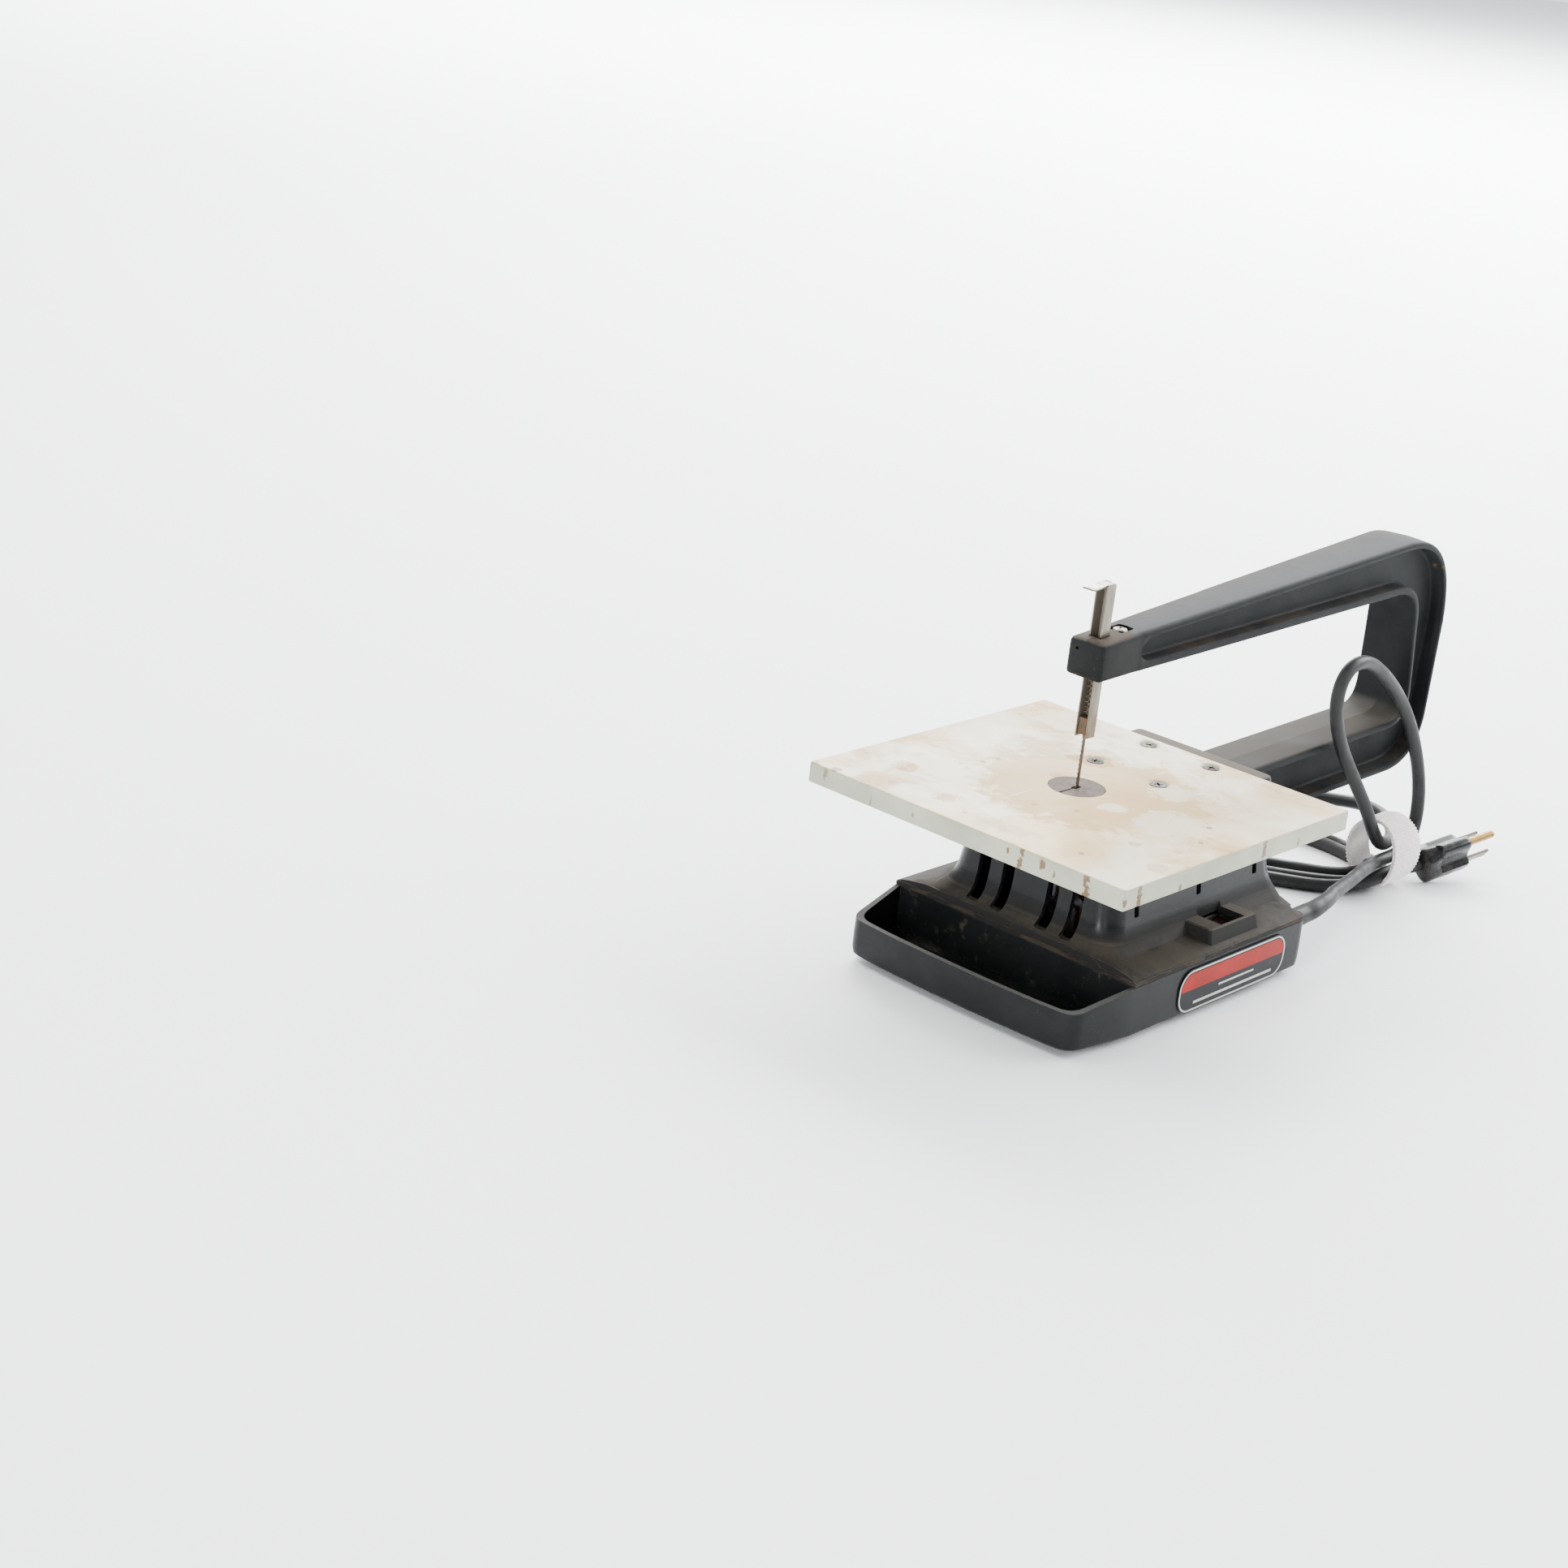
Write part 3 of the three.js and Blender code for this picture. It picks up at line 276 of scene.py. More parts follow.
def soften(piece, width, segments=2, angle=35):
    """Small rounds on the sharp edges."""
    modifier = piece.modifiers.new("rounds", "BEVEL")
    modifier.width = width * MM
    modifier.segments = segments
    modifier.limit_method = "ANGLE"
    modifier.angle_limit = math.radians(angle)
    modifier.harden_normals = False
    shade = piece.modifiers.new("even_normals", "WEIGHTED_NORMAL")
    shade.keep_sharp = True
    for face in piece.data.polygons:
        face.use_smooth = True


def coat(piece, material):
    piece.data.materials.clear()
    piece.data.materials.append(MATERIALS[material])


def dress(piece, body, slot, material, *nodes):
    """Gives a piece its body and material, and hides the CAD nodes that it stands for; its slot is not used."""
    coat(piece, material)
    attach(piece, body)
    if nodes:
        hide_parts(*nodes)


# ---- material helper


MATERIALS = {}
SOCKETS = {
    "colour": "Base Color", "roughness": "Roughness", "metallic": "Metallic", "gloss": "Specular IOR Level",
    "sheen": "Sheen Weight", "normal": "Normal",
}


class Shader:
    """Builds one node material in object coordinates, which are metres in the frame, and files it by name."""

    def __init__(self, name):
        material = bpy.data.materials.new(name)
        material.use_nodes = True
        MATERIALS[name] = material
        self.tree = material.node_tree
        self.surface = self.tree.nodes["Principled BSDF"]
        self.place = self.node("TexCoord").outputs["Object"]
        self.wobble = {}

    def feed(self, socket, value):
        """Links a socket to another node's output, or sets it to a number, vector or colour."""
        if isinstance(value, bpy.types.NodeSocket):
            self.tree.links.new(value, socket)
        elif socket.type == "RGBA":
            socket.default_value = (*value, 1)
        else:
            socket.default_value = value

    def node(self, kind, inputs=(), **settings):
        """A new node, with its settings and its inputs as (name or number, value) pairs."""
        made = self.tree.nodes.new("ShaderNode" + kind)
        for key, value in settings.items():
            setattr(made, key, value)
        for key, value in inputs:
            self.feed(made.inputs[key], value)
        return made

    def set(self, **values):
        for name, value in values.items():
            self.feed(self.surface.inputs[SOCKETS[name]], value)

    def maths(self, operation, a, b):
        return self.node("Math", [(0, a), (1, b)], operation=operation).outputs[0]

    def vector_maths(self, operation, a, b, output="Vector"):
        return self.node("VectorMath", [(0, a), (1, b)], operation=operation).outputs[output]

    def plus(self, a, b):
        return self.maths("ADD", a, b)

    def most(self, a, b):
        return self.maths("MAXIMUM", a, b)

    def times(self, first, *others):
        for other in others:
            first = self.maths("MULTIPLY", first, other)
        return first

    def noise(self, scale, detail=4.0, rough=0.6, stretch=(1, 1, 1), twist=0.0):
        """Noise from 0 to 1. scale is in bumps per metre."""
        mapped = self.node("Mapping", [("Vector", self.place), ("Scale", stretch)]).outputs[0]
        inputs = [
            ("Vector", mapped), ("Scale", scale), ("Detail", detail), ("Roughness", rough), ("Distortion", twist)]
        return self.node("TexNoise", inputs).outputs["Fac"]

    def span(self, value, low, high, out_low=0.0, out_high=1.0):
        """Maps a value from one span to another, smoothly and clamped."""
        inputs = [
            ("Value", value), ("From Min", low), ("From Max", high), ("To Min", out_low), ("To Max", out_high)]
        return self.node("MapRange", inputs, interpolation_type="SMOOTHSTEP").outputs["Result"]

    def patches(self, low, high, *noise, **more):
        """1 where a noise stands above high and 0 where it is under low."""
        return self.span(self.noise(*noise, **more), low, high)

    def mix(self, factor, a, b):
        return self.node("Mix", [(0, factor), (6, a), (7, b)], data_type="RGBA").outputs[2]

    def axis(self, name, vector=None):
        """One coordinate, X, Y or Z, of the place in metres or of another vector."""
        return self.node("SeparateXYZ", [(0, vector or self.place)]).outputs[name]

    def normal(self):
        return self.node("NewGeometry").outputs["Normal"]

    def upward(self, low=0.2, high=0.95):
        """1 on faces that look up, where dust settles."""
        return self.span(self.axis("Z", self.normal()), low, high)

    def edges(self, radius):
        """1 on convex and concave edges, within a radius in millimetres."""
        rounded = self.node("Bevel", [("Radius", radius * MM)], samples=4).outputs[0]
        return self.span(self.vector_maths("DOT_PRODUCT", rounded, self.normal(), "Value"), 0.99, 0.86)

    def spot(self, centre, radius, ragged=0.5, tall=1.0):
        """1 inside a ragged spot about a point in saw millimetres, fading to 0 at its rim."""
        fine = radius < 3
        if fine not in self.wobble:
            self.wobble[fine] = self.maths("SUBTRACT", self.noise(520 if fine else 150, 5, 0.65), 0.5)
        offset = self.vector_maths("SUBTRACT", self.place, saw(*centre))
        shrunk = self.vector_maths("MULTIPLY", offset, (1, 1, 1 / tall))
        far = self.node("VectorMath", [(0, shrunk)], operation="LENGTH").outputs["Value"]
        uneven = self.times(self.wobble[fine], ragged * radius * 4 * MM)
        return self.span(self.plus(far, uneven), radius * 1.12 * MM, radius * 0.8 * MM)

    def band(self, axis, low, high, soft=0.6):
        """1 where a coordinate in saw millimetres lies between two values, fading over a soft margin."""
        value = self.axis(axis)
        offset = ORIGIN["XYZ".index(axis)]
        rise = self.span(value, offset + (low - soft) * MM, offset + low * MM)
        fall = self.span(value, offset + (high + soft) * MM, offset + high * MM)
        return self.times(rise, fall)

    def bump(self, height, depth):
        """Relief from a height of 0 to 1, depth in millimetres."""
        bump = self.node("Bump", [("Strength", 1.0), ("Distance", depth * MM), ("Height", height)])
        self.set(normal=bump.outputs[0])


# ---- materials


def moulded_plastic(name, colour, lit, roughness, gloss, layers):
    """Grained dark plastic, paler where it is rubbed, under layers of dust and, on the arm, of painted light.

    layers is a function that takes the shader and gives (mask, strength, colour) layers, laid on in turn.
    """
    paint = Shader(name)
    body = paint.mix(paint.patches(0.35, 0.7, 24, 5), colour, lit)
    rubbed = paint.times(paint.edges(0.8), paint.patches(0.40, 0.62, 90))
    body = paint.mix(paint.times(rubbed, 0.35), body, (0.08, 0.08, 0.078))
    covered = 0.0
    # Each layer's colour is dust, except the arm's far half, whose layer is painted light over dust.
    for mask, strength, layer_colour in layers(paint):
        mask = paint.times(mask, strength)
        body = paint.mix(mask, body, layer_colour)
        covered = paint.most(covered, mask)
    specks = paint.times(paint.patches(0.68, 0.74, 1300, 2, 0.5), paint.patches(0.45, 0.7, 30, 4), 0.4)
    paint.set(
        colour=paint.mix(specks, body, (0.12, 0.10, 0.082)),
        roughness=paint.span(covered, 0, 0.8, roughness, 0.85),
        gloss=paint.span(covered, 0, 0.8, gloss, 0.08))
    paint.bump(paint.plus(paint.noise(2600, 2, 0.5), paint.times(paint.noise(160, 3), 1.5)), 0.03)


def housing_dust(paint):
    """Brown-grey dust on the deck, a tan line along its front and side edges, and a pale film on the strip."""
    lying = paint.upward(0.45, 0.97)
    film = paint.patches(0.25, 0.62, 38, 6, 0.65)
    strip_film = paint.span(paint.noise(40, 5), 0.1, 0.6, 0.7, 1)
    return [
        (paint.band("Z", -72, -62, 9), 0.5, (0.020, 0.018, 0.016)),
        (paint.times(lying, paint.band("Z", -74, -58), film), 0.8, (0.062, 0.052, 0.041)),
        (paint.times(lying, paint.band("Z", -62.6, -61.5, 0.2)), 0.6, (0.075, 0.066, 0.055)),
        (paint.times(paint.band("Y", 55.6, 56.8, 0.3), lying, paint.patches(0.3, 0.6, 90, 5)),
         0.7, (0.11, 0.085, 0.06)),
        (paint.times(paint.band("Z", -73, -71.4, 0.5), paint.patches(0.45, 0.62, 60, 5, stretch=(1, 1, 3))),
         0.4, (0.07, 0.05, 0.033)),
        (paint.times(paint.band("Z", -3.2, 2), lying, strip_film), 1, (0.125, 0.108, 0.088)),
    ]


def tray_dust(paint):
    """A scuffed grey rim, and streaked dust on the tray's floor and rear wall."""
    streaks = paint.patches(0.5, 0.72, 60, 5, 0.6, stretch=(0.25, 1, 1), twist=0.4)
    return [
        (paint.times(paint.upward(0.3, 0.9), paint.band("Z", -94, -70)), 0.85, (0.085, 0.084, 0.08)),
        (paint.times(paint.upward(0.5, 0.95), paint.band("Z", -101, -94), streaks), 0.7, (0.075, 0.06, 0.045)),
        (paint.times(paint.band("Y", 50, 58, 0.5), paint.patches(0.56, 0.7, 110, 5, 0.7)),
         0.6, (0.075, 0.06, 0.043)),
    ]


def arm_dust_and_painted_light(paint):
    """The far half beyond the parting ridge painted paler, as painted light on that facet over a dust film, brown
    dust in the recesses, and tan dust round the channel.
    """
    lying = paint.upward(0.45, 0.97)
    film = paint.span(paint.noise(30, 6, 0.65), 0.2, 0.6, 0.35, 1)
    recess = paint.times(paint.band("Y", 120, 420, 3), paint.patches(0.4, 0.68, 55, 6, 0.7), lying)
    slope = 0.065                   # of the recess's lower edge, which climbs towards the rear
    height = paint.maths("SUBTRACT", paint.axis("Z"), paint.times(paint.axis("Y"), slope))
    foot = ORIGIN.z - ORIGIN.y * slope
    ledge = paint.times(
        recess, paint.span(height, foot + 40 * MM, foot + 48 * MM),
        paint.span(height, foot + 70 * MM, foot + 67 * MM))
    low_ledge = paint.times(recess, paint.band("Z", -60, -30))
    mouth_dust = paint.span(paint.noise(90, 6, 0.7), 0.3, 0.6, 0.5, 1)
    return [
        (paint.times(lying, paint.patches(0.45, 0.75, 26, 5)), 0.2, (0.04, 0.044, 0.047)),
        # Painted light: the half beyond the ridge at x = 0 is painted paler, as the light that facet catches; the
        # film noise adds dust to it.
        (paint.times(lying, paint.band("X", -30, 0, 0.15), film), 0.75, (0.095, 0.094, 0.091)),
        (paint.times(lying, paint.band("Z", -30, 10), film), 0.55, (0.075, 0.064, 0.053)),
        (paint.most(ledge, low_ledge), 0.5, (0.05, 0.036, 0.023)),
        (paint.times(paint.band("Y", 78, 108, 9), lying, mouth_dust), 0.8, (0.085, 0.066, 0.05)),
        (paint.times(paint.spot((14, 412, 84), 6), paint.patches(0.5, 0.66, 240, 5)), 0.7, (0.12, 0.075, 0.045)),
    ]


def plug_dust(paint):
    """Brown handling grime on the plug, thicker towards its back, and pale scuffs."""
    return [
        (paint.patches(0.42, 0.66, 70, 5, 0.65), 0.3, (0.03, 0.026, 0.023)),
        (paint.times(paint.band("Y", 380, 406, 8), paint.patches(0.45, 0.62, 160, 5, 0.65)),
         0.3, (0.045, 0.034, 0.025)),
        (paint.times(paint.edges(1.2), paint.patches(0.5, 0.62, 300, 4)), 0.35, (0.09, 0.075, 0.068)),
    ]


# Marks on the table: (x, y), radius, strength and colour. Then the patches that were wiped clean.
OCHRE, TAN, BROWN, ROSE = (0.38, 0.17, 0.022), (0.36, 0.21, 0.075), (0.09, 0.045, 0.02), (0.52, 0.24, 0.14)
STAINS = [
    ((-69, 39), 7, 0.75, OCHRE), ((-66, 35), 4, 0.6, OCHRE), ((-26, 21), 6.5, 0.75, OCHRE),
    ((-30, 20), 4.5, 0.5, TAN), ((8, 12), 9, 0.5, TAN), ((22, 15), 8, 0.5, TAN), ((-56, 14), 3.5, 0.6, ROSE),
    ((-85, 3), 3.2, 0.8, BROWN), ((24, 106), 9, 0.35, ROSE), ((-19.6, 137), 9, 0.7, OCHRE),
    ((-29, 131), 5, 0.6, OCHRE), ((-16, 100), 4.5, 0.5, OCHRE), ((67, 54), 3.6, 0.55, OCHRE),
    ((86, 64), 2.6, 0.6, ROSE), ((93, 37), 6, 0.4, TAN), ((-100, 0), 5, 0.75, OCHRE), ((4, 54), 1.9, 0.75, TAN),
    ((-8, 13), 1.5, 0.9, (0.70, 0.12, 0.06)), ((85, 85), 1.5, 0.7, BROWN), ((75, 107), 1.7, 0.7, BROWN),
    ((22, 66), 1.3, 0.6, BROWN), ((-52, 81), 1.8, 0.7, TAN), ((-50, 92), 1.5, 0.6, TAN), ((60, 20), 1.5, 0.6, BROWN),
]
CLEAN_PATCHES = [
    ((-5, 154), 8), ((-14, 160), 7), ((30, 86), 7), ((-78, 118), 20), ((-92, 50), 13), ((-70, 178), 18),
    ((44, 170), 14), ((62, 92), 20), ((-50, 60), 12), ((34, 132), 12), ((0, 30), 9), ((80, 30), 8),
]
# Brown runs and chips on the lip: place, radius and strength.
LIP_MARKS = [
    ((79, 0, -1), 2, 0.8), ((79, 0, -4), 1.5, 0.6), ((79.4, 0, -9), 2, 0.95), ((52.6, 0, -3.4), 1.6, 0.9),
    ((38.9, 0, -8), 1.5, 0.9), ((39.8, 0, -1.3), 1.2, 0.9), ((31, 0, -4), 0.8, 0.9), ((60, 0, -6), 0.8, 0.8),
    ((101.6, 12, -3), 1.6, 0.7), ((101.6, 12, -8), 1.9, 0.95), ((101.6, 46, -9), 1, 0.8), ((101.6, 1, -7), 1.2, 0.8),
    ((101.6, 118, -2), 1.5, 0.6), ((101.6, 118, -6), 1.8, 0.8), ((-30, 0, -6), 0.9, 0.6), ((101.6, 150, -8), 1, 0.7),
    ((-90, 0, -3), 1.4, 0.6), ((-58, 0, -8), 0.8, 0.6),
]


def enamel():
    """Cream enamel: tan film and marks, cleaner patches, an upright lip painted darker and greyer than the top as
    painted shade, and brown runs and chips along the lip.
    """
    paint = Shader("enamel")
    clean, cream, tan = (0.68, 0.625, 0.48), (0.60, 0.43, 0.195), (0.46, 0.28, 0.09)
    face = paint.mix(paint.patches(0.38, 0.62, 11, 6, 0.6, twist=0.8), clean, cream)
    film = paint.most(
        paint.patches(0.42, 0.72, 24, 6, 0.68, twist=0.5), paint.times(paint.spot((5, 100, 0), 62, 0.3), 0.8))
    face = paint.mix(paint.times(film, 0.7), face, tan)
    wiped = 0.0
    for centre, radius in CLEAN_PATCHES:
        wiped = paint.most(wiped, paint.spot((*centre, 0), radius, 0.55))
    face = paint.mix(paint.times(wiped, 0.7), face, clean)
    for centre, radius, share, colour in STAINS:
        face = paint.mix(paint.times(paint.spot((*centre, 0), radius), share), face, colour)
    flecks = paint.times(paint.patches(0.70, 0.73, 170, 2, 0.5), paint.patches(0.45, 0.6, 20, 2), 0.55)
    face = paint.mix(flecks, face, (0.26, 0.15, 0.08))
    scratches = paint.times(paint.patches(0.70, 0.74, 210, 3, 0.5, stretch=(1, 0.05, 1)), 0.35)
    face = paint.mix(scratches, face, (0.88, 0.87, 0.84))
    # Painted shade: the upright lip is painted a darker, greyer copy of the cream, with the brown runs and chips
    # laid on it.
    lip = paint.mix(paint.patches(0.35, 0.65, 30, 4), (0.33, 0.34, 0.26), (0.43, 0.43, 0.33))
    for place, radius, share in LIP_MARKS:
        lip = paint.mix(paint.times(paint.spot(place, radius, 0.9, 2.2), share), lip, (0.13, 0.075, 0.035))
    top = paint.span(paint.axis("Z"), TABLE_HIGH.z - 0.8 * MM, TABLE_HIGH.z - 0.1 * MM)
    chips = paint.times(paint.edges(0.7), paint.patches(0.54, 0.6, 130, 5))
    paint.set(
        colour=paint.mix(paint.times(chips, 0.7), paint.mix(top, lip, face), (0.18, 0.11, 0.06)),
        roughness=paint.span(film, 0, 0.8, 0.36, 0.6),
        gloss=0.2)
    relief = paint.plus(paint.noise(420, 3), paint.times(paint.noise(40, 3), 1.5))
    paint.bump(paint.maths("SUBTRACT", relief, paint.times(chips, 1.5)), 0.04)


def channel_nickel():
    """Dull nickel, browned inside the trough and spotted with rust."""
    paint = Shader("channel_nickel")
    dull = paint.patches(0.35, 0.7, 150, 5, stretch=(1, 1, 0.3))
    inside = paint.times(
        paint.band("X", -2.95, 2.95, 0.1), paint.band("Y", 80, 98.05, 0.1), paint.band("Z", 20, 108, 1))
    body = paint.mix(inside, paint.mix(dull, (0.20, 0.185, 0.15), (0.14, 0.125, 0.095)), (0.15, 0.13, 0.105))
    low_rust = paint.times(paint.band("Z", 25, 38, 6), paint.patches(0.5, 0.62, 260, 4))
    marks = paint.most(paint.times(paint.patches(0.64, 0.72, 330, 5, 0.65), 0.5), low_rust)
    paint.set(
        colour=paint.mix(marks, body, (0.16, 0.09, 0.05)),
        metallic=paint.times(paint.span(marks, 0, 1, 1.0, 0.3), paint.span(inside, 0, 1, 1.0, 0.15)),
        roughness=paint.plus(paint.times(inside, 0.2), paint.span(dull, 0, 1, 0.27, 0.4)))
    paint.bump(paint.noise(900, 3, 0.6, stretch=(1, 1, 0.08)), 0.012)


def plated(name, colour, roughness, rust, spots):
    """Plated steel with fine brushing, dull patches and rust spots."""
    paint = Shader(name)
    dull = paint.patches(0.35, 0.7, 120, 5)
    rubbed = paint.times(paint.edges(0.5), paint.patches(spots - 0.08, spots + 0.04, 260, 4))
    marks = paint.most(paint.patches(spots, spots + 0.09, 420, 5, 0.65), rubbed)
    paint.set(
        colour=paint.mix(marks, paint.mix(dull, colour, tuple(c * 0.72 for c in colour)), rust),
        metallic=paint.span(marks, 0, 1, 1.0, 0.15),
        roughness=paint.plus(paint.plus(roughness, paint.times(dull, 0.16)), paint.times(marks, 0.35)))
    paint.bump(paint.plus(paint.noise(900, 3, 0.6, stretch=(1, 1, 0.08)), marks), 0.02)


def rubber(name, colour, layer_colour, amount, roughness):
    """Rubber with a fine skin, greyed where it was handled."""
    paint = Shader(name)
    handled = paint.times(paint.patches(0.36, 0.72, 38, 6, 0.65), amount)
    lying = paint.times(paint.upward(0.1, 1.0), amount * 0.6)
    paint.set(
        colour=paint.mix(paint.most(handled, lying), colour, layer_colour),
        roughness=paint.span(handled, 0, 0.6, roughness, 0.8),
        gloss=0.2)
    paint.bump(paint.noise(1800, 3), 0.03)


def bare(name, colour, metallic, roughness, grain=500, depth=0.02, gloss=0.5):
    """A plain material with some unevenness in its colour, gloss and surface."""
    paint = Shader(name)
    paint.set(
        colour=paint.mix(paint.patches(0.3, 0.7, grain * 0.25, 5), colour, tuple(c * 0.7 for c in colour)),
        metallic=metallic,
        roughness=paint.span(paint.noise(grain * 0.5, 4), 0.3, 0.7, roughness, roughness + 0.15),
        gloss=gloss)
    paint.bump(paint.noise(grain, 3), depth)


def banded(name, axis, scale, dark, pale, metallic, roughness, depth):
    """Fine even bands across an axis, as sheets in a stack or wires in a winding make."""
    paint = Shader(name)
    inputs = [("Vector", paint.place), ("Scale", scale)]
    bands = paint.node("TexWave", inputs, wave_type="BANDS", bands_direction=axis).outputs["Fac"]
    paint.set(colour=paint.mix(bands, dark, pale), metallic=metallic, roughness=roughness)
    paint.bump(bands, depth)


def hook_and_loop():
    """White napped strap, ribbed across, with painted shade in the hollows of its nap."""
    paint = Shader("hook_and_loop")
    nap = paint.noise(900, 4, 0.7)
    body = paint.mix(paint.patches(0.4, 0.75, 70, 5), (0.88, 0.82, 0.80), (0.76, 0.67, 0.65))
    # Painted shade: the nap's low points, where its relief sinks, are painted grey.
    colour = paint.mix(paint.span(nap, 0.35, 0.6), (0.66, 0.60, 0.585), body)
    paint.set(colour=colour, roughness=0.92, sheen=0.35)
    paint.bump(nap, 0.35)


def printed(name, colour, scuffed):
    """Printed film, faded unevenly and scuffed in small patches."""
    paint = Shader(name)
    faded = paint.mix(paint.patches(0.35, 0.7, 60, 4), colour, tuple(c * 1.25 for c in colour))
    scuffs = paint.patches(0.64, 0.72, 240, 6, 0.7)
    paint.set(
        colour=paint.mix(paint.times(scuffs, 0.6), faded, scuffed),
        roughness=paint.span(scuffs, 0, 1, 0.34, 0.6),
        gloss=0.12)
    paint.bump(paint.noise(700, 2), 0.01)


def make_materials():
    moulded_plastic(
        "housing_plastic", (0.0075, 0.008, 0.009), (0.010, 0.0105, 0.0115), 0.26, 0.14, housing_dust)
    moulded_plastic("tray_plastic", (0.0065, 0.007, 0.0075), (0.0115, 0.012, 0.0125), 0.34, 0.14, tray_dust)
    moulded_plastic("arm_plastic", (0.0105, 0.0115, 0.012), (0.016, 0.0168, 0.0172), 0.55, 0.06, arm_dust_and_painted_light)
    moulded_plastic("plug_vinyl", (0.008, 0.0085, 0.009), (0.011, 0.012, 0.013), 0.22, 0.3, plug_dust)
    enamel()
    channel_nickel()
    hook_and_loop()
    bare("switch_case", (0.012, 0.012, 0.012), 0.0, 0.4)
    bare("insert_plastic", (0.10, 0.075, 0.058), 0.0, 0.6, 700, 0.01, 0.12)
    bare("cast_metal", (0.45, 0.45, 0.46), 1.0, 0.45, 900, 0.06)
    bare("sintered_bronze", (0.50, 0.33, 0.16), 1.0, 0.4, 1500, 0.03)
    bare("fan_nylon", (0.62, 0.6, 0.52), 0.0, 0.5)
    bare("switch_red", (0.055, 0.006, 0.006), 0.0, 0.3)
    bare("pin_brass", (0.38, 0.235, 0.075), 1.0, 0.3)
    plated("zinc_plate", (0.20, 0.185, 0.155), 0.36, (0.07, 0.045, 0.028), 0.58)
    plated("screw_steel", (0.05, 0.044, 0.035), 0.5, (0.045, 0.03, 0.018), 0.54)
    plated("nickel_plate", (0.15, 0.125, 0.10), 0.35, (0.07, 0.045, 0.03), 0.6)
    plated("dark_steel", (0.11, 0.10, 0.09), 0.4, (0.13, 0.065, 0.03), 0.56)
    plated("rusted_hook", (0.10, 0.085, 0.07), 0.5, (0.13, 0.055, 0.022), 0.5)
    rubber("foot_rubber", (0.018, 0.018, 0.018), (0.10, 0.098, 0.094), 0.4, 0.6)
    rubber("cord_rubber", (0.015, 0.0155, 0.016), (0.055, 0.055, 0.053), 0.5, 0.42)
    banded("laminations", "Y", 320, (0.10, 0.09, 0.085), (0.2, 0.18, 0.16), 0.8, 0.5, 0.08)
    banded("winding", "Z", 420, (0.22, 0.07, 0.02), (0.62, 0.26, 0.09), 0.7, 0.35, 0.15)
    printed("label_dark", (0.009, 0.0095, 0.011), (0.25, 0.13, 0.08))
    printed("label_red", (0.25, 0.006, 0.003), (0.30, 0.14, 0.10))
    printed("label_white", (0.46, 0.45, 0.42), (0.14, 0.11, 0.09))


# ---- cord

CORD_D = 7.9
STRAND_Z = FLOOR_Z + CORD_D / 2 + 0.15  # a strand's middle where it lies on the floor
INTO_TIE = (35, 368, -88.9)
TIE = {"x": 33.5, "y": 369.3, "z": -83, "width": 25, "half_x": 18.5, "half_z": 21.3}
COIL = {"x": -50, "y": 343, "long": 92, "short": 47, "bulge": 8, "tilt": math.radians(16.3)}

LEAD_ROUTE = [
    (67.1, 258.8, -74), (64, 270, -75), (57, 296, -77.5), (49, 322, -80.4), (42, 342, -84.8),
    (37.8, 351, -87.2), (36, 356.8, -88.2),
]
LOOP_ROUTE = [
    (35.4, 378.8, -88.9), (36.2, 388, -87.6), (35.6, 397.5, -82), (34, 403, -73), (32, 405.5, -60),
    (29.5, 405.5, -47), (26.8, 400, -29), (24.8, 388, -8), (24, 370, 11), (24, 349, 27),
    (24, 327, 38), (24, 311, 38), (24, 301.5, 28.5), (24, 302, 14), (24.5, 312, -7),
    (26.4, 331, -32), (31, 345, -53), (33.8, 354, -69),
]
TAIL_ROUTE = [(43.6, 378.9, -93), (43.6, 383.5, -94.1), (44.4, 388.8, -94.8), (45.6, 393.1, -94.1)]

# The first turn leaves the top of the tie in a low arch, before it drops on to the others.
ARCH_ROUTE = [
    (33.6, 366, -80), (31.8, 379, -80.6), (26, 392, -80.5), (14, 406, -78.5), (-5, 414, -77.5),
    (-30, 409, -80),
]
# Each turn: its first angle in degrees, how far out it runs and how high, by angle, and where it ends in
# the tie.
TURNS = [
    (130,
     [(115, 2), (175, -7), (240, -24), (315, -24), (356, -10)],
     [(115, -83), (165, -92.8), (212, -92.8), (250, STRAND_Z), (325, STRAND_Z), (358, -97)],
     (28.6, 368, -97)),
    (15,
     [(2, -10), (50, -8.2), (300, -8.2), (356, -1.7)],
     [(2, -97), (35, STRAND_Z), (322, STRAND_Z), (358, -97.6)],
     (36.7, 368, -97.6)),
    (15,
     [(2, -1.7), (50, 0), (290, 0), (352, 5)],
     [(2, -97.6), (35, STRAND_Z), (315, STRAND_Z), (354, -93)],
     (43, 368, -92.6)),
]


def ease(value, knots):
    """A value read off a smooth line through knots."""
    for (t0, v0), (t1, v1) in zip(knots, knots[1:]):
        if value <= t1:
            s = min(1.0, max(0.0, (value - t0) / (t1 - t0)))
            return v0 + (v1 - v0) * s * s * (3 - 2 * s)
    return knots[-1][1]


def coil_point(degrees, out, z):
    t = math.radians(degrees)
    along = (COIL["long"] + out) * math.cos(t)
    aside = (COIL["short"] + COIL["bulge"] * math.sin(t / 2) ** 2 + out) * math.sin(t)
    cos, sin = math.cos(COIL["tilt"]), math.sin(COIL["tilt"])
    return (COIL["x"] + along * cos - aside * sin, COIL["y"] + along * sin + aside * cos, z)


def cord_route():
    """The whole route: lead, standing loop, three turns of the coil, and the tail to the plug."""
    points = [*LEAD_ROUTE, INTO_TIE, *LOOP_ROUTE, *ARCH_ROUTE]
    for first, outs, heights, end in TURNS:
        for degrees in range(first, 346, 15):
            points.append(coil_point(degrees, ease(degrees, outs), ease(degrees, heights)))
        points.append(end)
    return [Vector(p) for p in points + TAIL_ROUTE]


